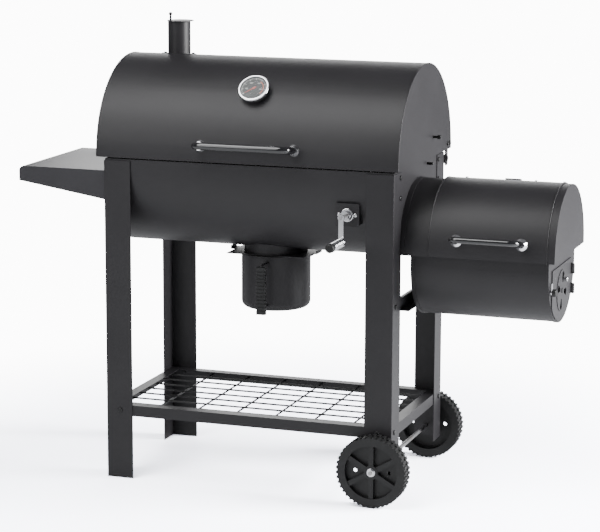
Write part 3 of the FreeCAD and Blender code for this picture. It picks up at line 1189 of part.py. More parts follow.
def firebox_lid_end():
    """Deep end cap, pushed into the skin and standing out beyond it."""
    x0 = BODY_RIGHT - CAP_FLANGE
    radius = FIREBOX_LID_RADIUS - SKIN
    cap = dome(x0, CAP_RIGHT, FIREBOX_Y, FIREBOX_LID_Z, radius, FIREBOX_SPLIT)
    cap = cap.cut(dome(x0 - 1, CAP_RIGHT - SKIN, FIREBOX_Y, FIREBOX_LID_Z, radius - SKIN, FIREBOX_SPLIT - 5))
    last = [seat for seat in firebox_top_seats() if seat.x > x0 - 5]
    return cap.cut(holes(last, outward(FITTING_ANGLE), 8.0, SMALL_SCREW_HOLE))


def firebox_lid_fittings():
    """Chrome cups and bolts of the handle, and the screws and small plate on the lid's top."""
    parts = handle_bolts(firebox_handle_feet(), FIREBOX_HANDLE_ANGLE)
    parts += rosettes(firebox_handle_feet(), FIREBOX_HANDLE_ANGLE, FIREBOX_HANDLE_TUBE, ROSETTE_RADIUS)
    for seat in firebox_top_seats():
        parts.append(bolt(seat, outward(FITTING_ANGLE), 5.0, SMALL_SCREW_HEAD, 2.6, SMALL_SCREW))
    plate = dome(TOP_PLATE_LEFT, TOP_PLATE_LEFT + TOP_PLATE_LENGTH, FIREBOX_Y, FIREBOX_LID_Z,
                 FIREBOX_LID_RADIUS + 3.5, FIREBOX_LID_Z)
    plate = plate.cut(dome(TOP_PLATE_LEFT - 1, TOP_PLATE_LEFT + TOP_PLATE_LENGTH + 1, FIREBOX_Y,
                           FIREBOX_LID_Z, FIREBOX_LID_RADIUS, FIREBOX_LID_Z - 5))
    seat = firebox_top_seats()[0]
    keep = box(TOP_PLATE_LEFT - 1, CAP_RIGHT, seat.y - 7, seat.y + 7, FIREBOX_LID_Z, LID_CENTRE_Z)
    return group(parts + [plate.common(keep)])


def firebox_hinge_leaves():
    """Moving halves of the lid's hinges: a leaf inside the skin with two outer knuckles."""
    parts = []
    y, z = FIREBOX_HINGE_Y, FIREBOX_HINGE_Z
    radius = FIREBOX_LID_RADIUS - SKIN
    for x in hinge_places():
        x0, x1 = x - FIREBOX_LEAF, x + FIREBOX_LEAF
        leaf = dome(x0, x1, FIREBOX_Y, FIREBOX_LID_Z, radius, z)
        leaf = leaf.cut(dome(x0 - 1, x1 + 1, FIREBOX_Y, FIREBOX_LID_Z, radius - 2.0, z - 5))
        leaf = leaf.common(box(x0, x1, FIREBOX_Y, FIREBOX_Y + 200, z, FIREBOX_SPLIT + 20))
        leaf = fuse_all([leaf, rod(V(x0, y, z), V(x1, y, z), FIREBOX_KNUCKLE)])
        window = box(x - 7.4, x + 7.4, y - 12, y + 12, z - 9, z + 9)
        bore = rod(V(x0 - 1, y, z), V(x1 + 1, y, z), FIREBOX_HINGE_RADIUS + RUNNING_FIT)
        parts.append(leaf.cut(window).cut(bore))
    return group(parts)


# ---------------------------------------------------------------- ash door, air disc, latch
def air_spot(radius, angle):
    return V(DOOR_X - 5, AIR_CENTRE_Y + radius * math.cos(angle), AIR_CENTRE_Z + radius * math.sin(angle))


def air_slots(grow):
    """Cutters for four wedge-shaped vents round the air disc's centre."""
    slots = []
    half = math.radians(AIR_SLOT_ANGLE)
    inner, outer = AIR_SLOT_INNER - grow, AIR_SLOT_OUTER + grow
    for step in range(4):
        middle = math.radians(90.0 * step + 90.0 + AIR_SLOT_TURN)
        near = [air_spot(inner, middle - half * 0.7), air_spot(inner, middle + half * 0.7)]
        far = [air_spot(outer - 5, middle - half), air_spot(outer - 5, middle + half)]
        edges = [Part.LineSegment(near[0], far[0]).toShape(),
                 Part.Arc(far[0], air_spot(outer, middle), far[1]).toShape(),
                 Part.LineSegment(far[1], near[1]).toShape(),
                 Part.LineSegment(near[1], near[0]).toShape()]
        slots.append(Part.Face(Part.Wire(edges)).extrude(V(20, 0, 0)))
    return group(slots)


def air_pin(start, length, radius):
    """A cylinder along X on the air disc's axis, from start beyond the door's inner face."""
    return Part.makeCylinder(radius, length, V(DOOR_X + start, AIR_CENTRE_Y, AIR_CENTRE_Z), V(1, 0, 0))


def ash_door():
    """Door plate with its hinge knuckles, four vents and the rivet that carries the air disc."""
    x1 = DOOR_X + DOOR_SHEET
    plate = door_outline(DOOR_X, x1, 0.0)
    for z in DOOR_HINGE_LEVELS:
        web = box(DOOR_X, DOOR_HINGE_X, DOOR_REAR_Y - 1, DOOR_HINGE_Y, z - 9.0, z + 9.0)
        knuckle = rod(V(DOOR_HINGE_X, DOOR_HINGE_Y, z - 9.0), V(DOOR_HINGE_X, DOOR_HINGE_Y, z + 9.0),
                      DOOR_KNUCKLE)
        plate = plate.fuse([web, knuckle])
    bore = rod(V(DOOR_HINGE_X, DOOR_HINGE_Y, 0), V(DOOR_HINGE_X, DOOR_HINGE_Y, FIREBOX_RIM),
               DOOR_PIN_RADIUS + RUNNING_FIT)
    plate = plate.removeSplitter().cut(bore).cut(air_slots(0.0)).cut(air_pin(-5, 20, AIR_PIVOT))
    top = AIR_DISC_X + AIR_DISC_SHEET + AIR_DISC_GAP - DOOR_X
    head = air_pin(top, 1.8, 6.0)
    head = head.makeFillet(1.0, [e for e in head.Edges if len(e.Vertexes) == 1
                                 and e.CenterOfMass.x > DOOR_X + top + 1])
    return group([plate, fuse_all([air_pin(0, top, AIR_PIVOT), head])])


def air_disc():
    """Rotary air damper in front of the door, with the same four vents."""
    disc = air_pin(AIR_DISC_X - DOOR_X, AIR_DISC_SHEET, AIR_DISC_RADIUS)
    return disc.cut(air_slots(1.0)).cut(air_pin(-5, 20, AIR_PIVOT + RUNNING_FIT))


def air_knob():
    """Bright knob that turns the air disc."""
    spot = air_spot(AIR_KNOB_REACH, math.radians(AIR_KNOB_TURN))
    spot.x = AIR_DISC_X + AIR_DISC_SHEET
    head = Part.makeCylinder(5.5, 6.5, spot + V(2.5, 0, 0), V(1, 0, 0))
    head = head.makeFillet(1.5, [e for e in head.Edges if len(e.Vertexes) == 1])
    return fuse_all([Part.makeCylinder(2.5, 4.0, spot, V(1, 0, 0)), head])


def latch_pin(start, end, radius):
    """A cylinder along X on the latch's axis."""
    return rod(V(start, LATCH_Y, LATCH_Z), V(end, LATCH_Y, LATCH_Z), radius)


def latch_tongue():
    """Stud through the end plate, with the tongue that turns over the door's edge."""
    back = BODY_RIGHT - SKIN - 0.5
    blade = box(LATCH_X, LATCH_X + 2.0, LATCH_Y - 4.0, LATCH_Y + 4.0, LATCH_Z, LATCH_Z + LATCH_REACH)
    collar = latch_pin(BODY_RIGHT + 0.5, LATCH_X, 5.0)
    root = latch_pin(LATCH_X, LATCH_X + 2.0, 6.0)
    return fuse_all([latch_pin(back - 2.0, LATCH_X + 8.0, LATCH_STUD), latch_pin(back - 2.0, back, 5.5),
                     blade, collar, root])


def latch_knob():
    """Round black knob of the door latch."""
    knob = latch_pin(LATCH_X + 2.0, LATCH_X + 12.0, LATCH_KNOB)
    knob = knob.makeFillet(2.5, [e for e in knob.Edges if len(e.Vertexes) == 1])
    return knob.cut(latch_pin(LATCH_X, LATCH_X + 8.0, LATCH_STUD))


# ---------------------------------------------------------------- grease pot
def pot_holder():
    """Ring under the drain hole, on a plate with two side channels that take the pot's rim."""
    sheet, wide = HOLDER_SHEET, HOLDER_HALF + HOLDER_SHEET
    z_plate = HOLDER_TOP
    z_lip = POT_TOP - POT_WALL - 0.3 - sheet
    foot = V(0, 0, z_plate)
    height = BARREL_CENTRE_Z - z_plate
    ring = Part.makeCylinder(HOLDER_RING, height, foot).cut(
        Part.makeCylinder(HOLDER_RING - sheet, height, foot))
    plate = box(-wide, wide, -HOLDER_PLATE, HOLDER_PLATE, z_plate, z_plate + sheet)
    parts = [ring, plate.cut(Part.makeCylinder(DRAIN_RADIUS, 2 * sheet, foot - V(0, 0, sheet / 2)))]
    for side in (-1, 1):
        x0, x1 = sorted((side * HOLDER_HALF, side * wide))
        parts.append(box(x0, x1, -HOLDER_CHANNEL, HOLDER_CHANNEL, z_lip, z_plate + sheet))
        x0, x1 = sorted((side * (POT_RADIUS + 2.0), side * wide))
        parts.append(box(x0, x1, -HOLDER_CHANNEL, HOLDER_CHANNEL, z_lip, z_lip + sheet))
        tip = wide + HOLDER_EAR
        x0, x1 = sorted((side * wide, side * tip))
        parts.append(box(x0, x1, -20, 20, z_plate, z_plate + sheet))
        x0, x1 = sorted((side * (tip - sheet), side * tip))
        parts.append(box(x0, x1, -20, 20, z_plate, z_plate + 9.0))
    drum = trough(-BARREL_HALF, BARREL_HALF, 0, BARREL_CENTRE_Z, BARREL_RADIUS, BARREL_RIM)
    return fuse_all(parts).cut(drum)


def pot():
    """Deep pot with a rounded bottom corner and a flat rim, and the wire bail of its grip."""
    def can(radius, bottom, corner):
        body = Part.makeCylinder(radius, POT_TOP - bottom + 1, V(0, 0, bottom))
        return body.makeFillet(corner, [e for e in body.Edges if len(e.Vertexes) == 1
                                        and e.CenterOfMass.z < bottom + 1])
    rim = Part.makeCylinder(POT_RADIUS + POT_RIM, POT_WALL, V(0, 0, POT_TOP - POT_WALL))
    above = box(-200, 200, -200, 200, POT_TOP, POT_TOP + 50)
    inside = can(POT_RADIUS - POT_WALL, POT_BOTTOM + POT_WALL, POT_CORNER - POT_WALL)
    body = can(POT_RADIUS, POT_BOTTOM, POT_CORNER)
    shell = fuse_all([body.cut(above), rim]).cut(inside)
    outside = Part.makeCylinder(POT_RADIUS, POT_TOP - POT_BOTTOM, V(0, 0, POT_BOTTOM))
    return group([shell, pot_bail().cut(outside)])


def pot_bail():
    """Wire from high on the pot's front, down through the grip and back."""
    x, y_in = POT_GRIP_X, 5.0 - POT_RADIUS
    return bent_tube([V(x, y_in, BAIL_HIGH), V(x, POT_GRIP_Y, BAIL_HIGH),
                      V(x, POT_GRIP_Y, BAIL_LOW), V(x, y_in, BAIL_LOW)], 9.0, BAIL_WIRE)


def pot_grip():
    """Ribbed grip on the upright stretch of the bail."""
    x, y, half = POT_GRIP_X, POT_GRIP_Y, POT_GRIP_HALF
    grip = box(x - half, x + half, y - 8, y + 8, POT_GRIP_LOW, POT_GRIP_HIGH)
    grip = grip.makeFillet(5.0, [e for e in grip.Edges if e.Length > 100])
    pitch = (POT_GRIP_HIGH - POT_GRIP_LOW - 12.0) / POT_GRIP_RIBS
    cutters = []
    for step in range(POT_GRIP_RIBS):
        z = POT_GRIP_LOW + 9.0 + step * pitch
        slab = box(x - half - 1, x + half + 1, y - 9, y + 9, z, z + pitch * 0.4)
        cutters.append(slab.cut(box(x - half + 1.8, x + half - 1.8, y - 6.2, y + 6.2, z - 1, z + pitch)))
    return grip.cut(group(cutters)).cut(pot_bail())


# ---------------------------------------------------------------- all nodes
def build_nodes():
    lid_feet, box_feet = lid_handle_feet(), firebox_handle_feet()
    return {
        "leg_front_left": leg(-1, -1, 0.0),
        "leg_rear_left": leg(-1, 1, 0.0),
        "leg_front_right": leg(1, -1, WHEEL_RADIUS - LEG_BELOW_AXLE),
        "leg_rear_right": leg(1, 1, WHEEL_RADIUS - LEG_BELOW_AXLE),
        "shelf_rails_long": group([shelf_rail_x(-1), shelf_rail_x(1)]),
        "shelf_rails_short": group([shelf_rail_y(-1), shelf_rail_y(1)]),
        "shelf_wires": shelf_wires(),
        "crossbar": crossbar(),
        "frame_bolts": frame_bolts(),
        "side_table": side_table(),
        "axle": axle(),
        "axle_nuts": axle_nuts(),
        "wheel_front": wheel(-1),
        "wheel_rear": wheel(1),
        "barrel_shell": barrel_shell(),
        "barrel_end_left": barrel_end_left(),
        "barrel_end_right": barrel_end_right(),
        "cooking_grates": cooking_grates(),
        "charcoal_pan": charcoal_pan(),
        "crank_bracket": crank_bracket(),
        "crank_bearing": crank_bearing(),
        "crank_shaft": crank_shaft(),
        "crank_arm": crank_arm(),
        "crank_grip": crank_grip(),
        "grip_knob": grip_knob(),
        "lid_hinge_brackets": lid_hinge_brackets(),
        "lid_skin": lid_skin(),
        "lid_end_left": lid_end(-1),
        "lid_end_right": lid_end(1),
        "lid_hinge_tabs": group([lid_hinge_tab(-1), lid_hinge_tab(1)]),
        "lid_fasteners": lid_fasteners(),
        "lid_handle": bar_handle(lid_feet, HANDLE_ANGLE, HANDLE_TUBE, HANDLE_STANDOFF, HANDLE_WALL),
        "lid_rosettes": group(rosettes(lid_feet, HANDLE_ANGLE, HANDLE_TUBE, ROSETTE_RADIUS)),
        "thermometer_case": thermometer_case(),
        "thermometer_dial": thermometer_dial(),
        "thermometer_pointer": thermometer_pointer(),
        "thermometer_glass": thermometer_glass(),
        "chimney_tube": chimney_tube(),
        "chimney_cap": chimney_cap(),
        "cap_knob": cap_knob(),
        "firebox_collar": firebox_collar(),
        "firebox_shell": firebox_shell(),
        "firebox_end_left": firebox_end_left(),
        "firebox_end_right": firebox_end_right(),
        "fire_grate": fire_grate(),
        "firebox_hinge_brackets": firebox_hinge_brackets(),
        "firebox_lid_skin": firebox_lid_skin(),
        "firebox_lid_end": firebox_lid_end(),
        "firebox_handle": bar_handle(box_feet, FIREBOX_HANDLE_ANGLE, FIREBOX_HANDLE_TUBE,
                                     FIREBOX_HANDLE_STANDOFF, HANDLE_WALL),
        "firebox_lid_fittings": firebox_lid_fittings(),
        "firebox_hinge_leaves": firebox_hinge_leaves(),
        "ash_door": ash_door(),
        "damper_disc": air_disc(),
        "damper_knob": air_knob(),
        "latch_tongue": latch_tongue(),
        "latch_knob": latch_knob(),
        "pot_holder": pot_holder(),
        "pot": pot(),
        "pot_grip": pot_grip(),
    }


def main():
    nodes = build_nodes()
    whole = group(list(nodes.values())).optimalBoundingBox()
    shift = V(-(whole.XMin + whole.XMax) / 2, -(whole.YMin + whole.YMax) / 2, 0)
    os.makedirs("parts", exist_ok=True)
    for name, shape in nodes.items():
        shape.translate(shift)
        shape.exportStep("parts/" + name + ".step")
    print("nodes", len(nodes), "origin shift", round(shift.x, 4), round(shift.y, 4))
    print("size", round(whole.XLength, 1), round(whole.YLength, 1), round(whole.ZMax, 1))


main()
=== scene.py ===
"""Looks of an offset smoker: finishes, finer meshes for a few pieces, and a plain studio."""

import json
import logging
import math
from dataclasses import dataclass, field
from enum import Enum
from typing import Any, Callable, Iterable, Sequence

import bmesh
import bpy
from mathutils import Matrix, Quaternion, Vector


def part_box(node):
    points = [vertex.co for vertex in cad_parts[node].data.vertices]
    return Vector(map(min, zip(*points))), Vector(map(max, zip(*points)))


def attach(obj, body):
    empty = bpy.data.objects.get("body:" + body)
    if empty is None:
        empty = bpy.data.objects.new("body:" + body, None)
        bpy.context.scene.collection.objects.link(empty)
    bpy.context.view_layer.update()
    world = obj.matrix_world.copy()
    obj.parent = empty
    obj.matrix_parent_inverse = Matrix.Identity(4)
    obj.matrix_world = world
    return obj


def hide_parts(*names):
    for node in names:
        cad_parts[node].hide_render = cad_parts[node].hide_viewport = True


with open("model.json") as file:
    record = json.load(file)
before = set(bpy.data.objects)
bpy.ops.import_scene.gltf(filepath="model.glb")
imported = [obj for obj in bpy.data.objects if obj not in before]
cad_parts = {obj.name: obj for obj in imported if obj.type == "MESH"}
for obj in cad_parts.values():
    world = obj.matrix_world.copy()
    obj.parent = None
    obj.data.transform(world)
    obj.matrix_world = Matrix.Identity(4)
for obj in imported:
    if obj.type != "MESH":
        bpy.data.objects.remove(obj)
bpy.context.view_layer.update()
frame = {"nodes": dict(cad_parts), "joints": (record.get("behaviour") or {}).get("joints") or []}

log = logging.getLogger("smoker")
Colour = tuple[float, float, float]
Number = float | int
Range = tuple[float, float]
Triple = tuple[float, float, float]


# ------------------------------------------------------------------ shader maths
class Field:
    """A value that varies over a surface, held as the socket that gives it."""

    def __init__(self, network: "Network", socket: bpy.types.NodeSocket) -> None:
        """Keeps the socket and the network it belongs to."""
        self.network = network
        self.socket = socket

    def _maths(self, operation: str, first: "Field | Number", second: "Field | Number") -> "Field":
        """Adds a Math node.

        Args:
            operation: the node's operation.
            first: its first value.
            second: its second value.

        Returns:
            The node's result.
        """
        return self.network.node("ShaderNodeMath", {"operation": operation}, {0: first, 1: second})

    def __add__(self, other: "Field | Number") -> "Field":
        """self + other."""
        return self._maths("ADD", self, other)

    __radd__ = __add__

    def __sub__(self, other: "Field | Number") -> "Field":
        """self - other."""
        return self._maths("SUBTRACT", self, other)

    def __mul__(self, other: "Field | Number") -> "Field":
        """self * other."""
        return self._maths("MULTIPLY", self, other)

    def between(self, low: float, high: float) -> "Field":
        """0 below low, 1 above high, and smooth between them."""
        return self.network.node("ShaderNodeMapRange", {"interpolation_type": "SMOOTHSTEP"},
                                {"Value": self, "From Min": low, "From Max": high})


class Network:
    """A node tree, and the one way that nodes are added to it."""

    def __init__(self, tree: bpy.types.NodeTree) -> None:
        """Takes up a node tree."""
        self.tree = tree

    def node(self, kind: str, settings: dict[str, Any], inputs: dict[Any, Any],
             output: Any = 0) -> Field:
        """Adds any node.

        Args:
            kind: the node's type.
            settings: its properties, which are set first.
            inputs: a value or a field for each socket.
            output: the socket that the result comes from.

        Returns:
            That socket as a field.
        """
        made = self.tree.nodes.new(kind)
        for key, value in settings.items():
            setattr(made, key, value)
        for key, value in inputs.items():
            if isinstance(value, Field):
                self.tree.links.new(value.socket, made.inputs[key])
            else:
                made.inputs[key].default_value = value
        return Field(self, made.outputs[output])

    def end(self, result: Field, output: str) -> None:
        """Links the result to the output node's surface."""
        self.tree.links.new(result.socket, self.tree.nodes[output].inputs["Surface"])


class Shader(Network):
    """One material, built round its Principled BSDF."""

    def __init__(self, name: str, constants: dict[str, Any]) -> None:
        """Starts a material.

        Args:
            name: the material's name.
            constants: values that are the same all over the surface, by socket.
        """
        self.material = bpy.data.materials.new(name + "_finish")
        self.material.use_nodes = True
        super().__init__(self.material.node_tree)
        self.surface = self.tree.nodes["Principled BSDF"]
        for socket, value in constants.items():
            self.surface.inputs[socket].default_value = value
        self.place = self.node("ShaderNodeTexCoord", {}, {}, "Object")

    def noise(self, scale: float, detail: float = 2.0, stretch: Sequence[float] = (1, 1, 1)) -> Field:
        """Cloudy noise from 0 to 1, with scale features to the metre."""
        place = self.node("ShaderNodeMapping", {}, {"Vector": self.place, "Scale": stretch})
        return self.node("ShaderNodeTexNoise", {}, {"Vector": place, "Scale": scale, "Detail": detail})

    def blend(self, mask: Field, low: "Colour | Field", high: "Colour | Field") -> Field:
        """Mixes two colours.

        Args:
            mask: 0 for the first colour and 1 for the second.
            low: the first colour, or a field of it.
            high: the second colour, or a field of it.

        Returns:
            The mixed colour.
        """
        first, second = (c if isinstance(c, Field) else (*c, 1.0) for c in (low, high))
        return self.node("ShaderNodeMix", {"data_type": "RGBA"}, {0: mask, 6: first, 7: second}, 2)

    def feed(self, socket: str, value: Field) -> None:
        """Links a field to a socket of the surface."""
        self.tree.links.new(value.socket, self.surface.inputs[socket])

    def relief(self, height: Field, depth: float, strength: float = 1.0) -> None:
        """Bumps the surface.

        Args:
            height: the bump's height, from 0 to 1.
            depth: metres from height 0 to height 1.
            strength: how strongly it shows.
        """
        values = {"Height": height, "Distance": depth, "Strength": strength}
        bump = self.node("ShaderNodeBump", {}, values, "Normal")
        self.feed("Normal", bump)


# ------------------------------------------------------------------ finishes
def shade(colour: Colour, factor: float, lift: float = 0.0) -> Colour:
    """A colour made lighter or darker."""
    return tuple(factor * c + lift for c in colour)


@dataclass(frozen=True)
class PowderCoat:
    """Baked powder paint on sheet: fine orange peel, a soft sheen and faint handling marks."""

    name: str
    dark: Colour
    light: Colour
    roughness: float = 0.46
    peel: float = 0.00012
    dust: float = 0.25
    sheen: float = 0.4
    peel_scale: float = 900.0
    peel_strength: float = 0.7
    cloud_scale: float = 5.0
    cloud_range: Range = (0.3, 0.7)
    cloud_effect: float = 0.1
    rub_scale: float = 38.0
    rub_stretch: Triple = (1.0, 2.2, 2.2)
    rub_range: Range = (0.62, 0.78)
    scuff_shade: Range = (1.35, 0.004)
    scuff_effect: float = 0.3
    grit_scale: float = 2300.0
    grit_range: Range = (0.66, 0.8)
    grit: float = 0.35
    grit_shade: float = 1.8

    def make(self) -> bpy.types.Material:
        """Builds the material.

        Returns:
            The finish's material.
        """
        s = Shader(self.name, {"Metallic": 0.0, "Specular IOR Level": self.sheen})
        peel, cloud = s.noise(self.peel_scale, 3.0), s.noise(self.cloud_scale, 4.0)
        rub = s.noise(self.rub_scale, 5.0, self.rub_stretch)
        scuff = rub.between(*self.rub_range) * self.dust
        grit = s.noise(self.grit_scale, 1.0).between(*self.grit_range) * self.grit
        coat = s.blend(cloud.between(*self.cloud_range), self.dark, self.light)
        coat = s.blend(scuff, coat, shade(self.light, *self.scuff_shade))
        s.feed("Base Color", s.blend(grit, coat, shade(self.light, self.grit_shade)))
        rough = self.roughness + (cloud - 0.5) * self.cloud_effect + scuff * self.scuff_effect
        s.feed("Roughness", rough)
        s.relief(peel, self.peel, self.peel_strength)
        return s.material


@dataclass(frozen=True)
class Plating:
    """Bright or dark chrome, with faint wiping marks."""

    name: str
    tint: Colour
    roughness: float
    metallic: float = 1.0
    coat: float = 0.0
    coat_roughness: float = 0.04
    wipe_range: Range = (0.4, 0.8)
    wipe_effect: float = 0.08
    haze_range: Range = (0.35, 0.7)
    haze_shade: float = 0.9
    haze_depth: float = 0.00002

    def make(self) -> bpy.types.Material:
        """Builds the material.

        Returns:
            The finish's material.
        """
        s = Shader(self.name, {"Metallic": self.metallic, "Coat Weight": self.coat,
                               "Coat Roughness": self.coat_roughness})
        wipe, haze = s.noise(60.0, 4.0, (1.0, 4.0, 1.0)), s.noise(400.0, 2.0)
        hazed = shade(self.tint, self.haze_shade)
        s.feed("Base Color", s.blend(haze.between(*self.haze_range), self.tint, hazed))
        s.feed("Roughness", self.roughness + wipe.between(*self.wipe_range) * self.wipe_effect)
        s.relief(haze, self.haze_depth, 0.4)
        return s.material


@dataclass(frozen=True)
class BareSteel:
    """Rolled or drawn steel with fine lengthwise scratches and some heat tint."""

    name: str
    tint: Colour
    roughness: float
    grain: Triple = (1.0, 14.0, 14.0)
    heat: Triple = (0.8, 0.7, 0.62)
    heat_range: Range = (0.45, 0.75)
    scratch_effect: float = 0.18
    scratch_depth: float = 0.00004

    def make(self) -> bpy.types.Material:
        """Builds the material.

        Returns:
            The finish's material.
        """
        s = Shader(self.name, {"Metallic": 0.85})
        lines, patches = s.noise(180.0, 3.0, self.grain), s.noise(22.0, 4.0)
        warm = tuple(c * h for c, h in zip(self.tint, self.heat))
        s.feed("Base Color", s.blend(patches.between(*self.heat_range), self.tint, warm))
        s.feed("Roughness", self.roughness + lines * self.scratch_effect)
        s.relief(lines, self.scratch_depth)
        return s.material


@dataclass(frozen=True)
class MouldedPlastic:
    """Black moulded plastic: spark-eroded grain, slightly polished where it is touched."""

    name: str
    tint: Colour
    roughness: float = 0.5
    worn_range: Range = (0.45, 0.75)
    worn: float = 0.6
    worn_shade: Range = (1.7, 0.006)
    grain_effect: float = 0.12
    grain_depth: float = 0.00012

    def make(self) -> bpy.types.Material:
        """Builds the material.

        Returns:
            The finish's material.
        """
        s = Shader(self.name, {"Specular IOR Level": 0.45})
        grain, worn = s.noise(1500.0, 2.0), s.noise(30.0, 3.0)
        dusty = shade(self.tint, *self.worn_shade)
        s.feed("Base Color", s.blend(worn.between(*self.worn_range) * self.worn, self.tint, dusty))
        s.feed("Roughness", self.roughness + (grain - worn) * self.grain_effect)
        s.relief(grain, self.grain_depth)
        return s.material


@dataclass(frozen=True)
class PlainInk:
    """Printed or enamelled marks."""

    name: str
    tint: Colour
    roughness: float = 0.4
    speck: float = 0.3
    speck_shade: float = 0.85

    def make(self) -> bpy.types.Material:
        """Builds the material.

        Returns:
            The finish's material.
        """
        s = Shader(self.name, {"Roughness": self.roughness})
        speck = s.noise(3000.0, 1.0).between(0.4, 0.7) * self.speck
        s.feed("Base Color", s.blend(speck, self.tint, shade(self.tint, self.speck_shade)))
        return s.material


@dataclass(frozen=True)
class ClearGlass:
    """Flat clear window, with a trace of dust in its roughness."""

    name: str
    tint: tuple[float, float, float, float] = (0.9, 0.95, 0.95, 1.0)
    alpha: float = 0.06
    index: float = 1.15
    dust: float = 0.06

    def make(self) -> bpy.types.Material:
        """Builds the material.

        Returns:
            The finish's material.
        """
        s = Shader(self.name, {"Base Color": self.tint, "Alpha": self.alpha, "IOR": self.index})
        s.feed("Roughness", s.noise(300.0, 2.0) * self.dust)
        return s.material


class Finish(Enum):
    """The smoker's finishes, each with the record's slot that it belongs to."""

    BODY = (PowderCoat("charcoal_coat", (0.0147, 0.0138, 0.0158), (0.0193, 0.0183, 0.0207)),
            "charcoal_coat")
    TABLE = (PowderCoat("table_coat", (0.03, 0.029, 0.033), (0.037, 0.036, 0.041), 0.4),
             "table_coat")
    WIRE = (PowderCoat("wire_coat", (0.012, 0.012, 0.013), (0.017, 0.017, 0.018), 0.4, 0.00006),
            "wire_coat")
    BOLTS = (PowderCoat("black_bolts", (0.008, 0.008, 0.0085), (0.012, 0.012, 0.013), 0.34, 0.00004),
             "black_bolts")
    GRATE = (BareSteel("grate_steel", (0.42, 0.42, 0.43), 0.3), "grate_steel")
    PAN = (BareSteel("pan_steel", (0.16, 0.16, 0.165), 0.42), "pan_steel")
    CHROME = (Plating("bright_chrome", (0.8, 0.8, 0.82), 0.07), "bright_chrome")
    DARK = (Plating("dark_chrome", (0.012, 0.012, 0.014), 0.16, 0.35, 1.0), "dark_chrome")
    PLASTIC = (MouldedPlastic("black_plastic", (0.006, 0.006, 0.0065)), "black_plastic")
    DIAL = (PlainInk("dial_black", (0.01, 0.01, 0.011)), "dial_black")
    MARKS = (PlainInk("dial_marks", (0.85, 0.85, 0.82)), "dial_black")
    WARM = (PlainInk("dial_warm", (0.75, 0.16, 0.07)), "dial_black")
    POINTER = (PlainInk("pointer_red", (0.62, 0.1, 0.07)), "pointer_red")
    GLASS = (ClearGlass("clear_glass"), "clear_glass")

    def material(self) -> bpy.types.Material:
        """Makes the finish's material the first time it is asked for.

        Returns:
            The finish's material.
        """
        if self not in MADE:
            MADE[self] = self.value[0].make()
        return MADE[self]

    def slot(self) -> str:
        """The record's slot."""
        return self.value[1]


MADE: dict[Finish, bpy.types.Material] = {}


# ------------------------------------------------------------------ mesh helpers
def dress(finish: Finish, *nodes: str) -> None:
    """Gives CAD nodes a finish.

    Args:
        finish: their finish.
        nodes: the nodes' names.
    """
    for node in nodes:
        made = frame["nodes"][node]
        if not made.material_slots:
            made.data.materials.append(finish.material())
        for place in made.material_slots:
            place.material = finish.material()
        log.info("dressed %s in %s", node, finish.name.lower())


CREASE = math.radians(38.0)


def finish_piece(name: str, mesh: bpy.types.Mesh, finish: Finish, body: str,
                 replaces: Iterable[str] = (), smooth: bool = True) -> bpy.types.Object:
    """Makes an object of a mesh, in its finish, riding on its body.

    Args:
        name: the piece's name.
        mesh: its mesh, in the row frame.
        finish: its finish.
        body: the CAD body it rides on.
        replaces: CAD nodes that it stands for.
        smooth: whether its faces are shaded smooth.

    Returns:
        The new piece.
    """
    piece = bpy.data.objects.new(name, mesh)
    bpy.context.scene.collection.objects.link(piece)
    mesh.materials.append(finish.material())
    for face in mesh.polygons:
        face.use_smooth = smooth
    if smooth:
        mesh.set_sharp_from_angle(angle=CREASE)
    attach(piece, body)
    nodes = list(replaces)
    if nodes:
        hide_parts(*nodes)
    log.info("built %s on %s", name, body)
    return piece


def mesh_from(build: Callable[[bmesh.types.BMesh], None], name: str) -> bpy.types.Mesh:
    """Runs a builder on a new bmesh, and turns its faces outwards.

    Args:
        build: adds the shape to the bmesh.
        name: the mesh's name.

    Returns:
        The mesh.
    """
    work = bmesh.new()
    build(work)
    bmesh.ops.recalc_face_normals(work, faces=work.faces)
    mesh = bpy.data.meshes.new(name)
    work.to_mesh(mesh)
    work.free()
    return mesh


def sweep(work: bmesh.types.BMesh, path: Sequence[Vector], radius: float, sides: int = 14,
          closed: bool = False) -> None:
    """Sweeps a round section along a path, turning as little as it can.

    Args:
        work: the bmesh to add to.
        path: the points of the centre line.
        radius: the section's radius.
        sides: points round the section.
        closed: whether the path meets itself, or ends in caps.
    """
    count = len(path)
    ahead = [(path[(i + 1) % count] - path[i - 1] if closed or 0 < i < count - 1 else
              path[min(i + 1, count - 1)] - path[max(i - 1, 0)]).normalized() for i in range(count)]
    across = ahead[0].orthogonal().normalized()
    rings = []
    for i, point in enumerate(path):
        if i:
            across = ahead[i - 1].rotation_difference(ahead[i]) @ across
        across = (across - ahead[i] * across.dot(ahead[i])).normalized()
        other = ahead[i].cross(across)
        rings.append([work.verts.new(point + radius * (math.cos(t) * across + math.sin(t) * other))
                      for t in (2 * math.pi * k / sides for k in range(sides))])
    for i in range(count if closed else count - 1):
        near, far = rings[i], rings[(i + 1) % count]
        for k in range(sides):
            work.faces.new((near[k], near[(k + 1) % sides], far[(k + 1) % sides], far[k]))
    if not closed:
        work.faces.new(rings[0])
        work.faces.new(rings[-1])


def arch(x: float, middle: Vector, radius: float, drop: float, steps: int = 72) -> list[Vector]:
    """Points of an arc over the object, from the front to the back.

    Args:
        x: where the arc stands.
        middle: a point on its axis.
        radius: its radius.
        drop: degrees above the horizontal at which it starts and ends.
        steps: how many pieces it has.

    Returns:
        The points.
    """
    turns = (math.radians(drop + (180.0 - 2 * drop) * k / steps) for k in range(steps + 1))
    return [Vector((x, middle.y - radius * math.cos(t), middle.z + radius * math.sin(t))) for t in turns]


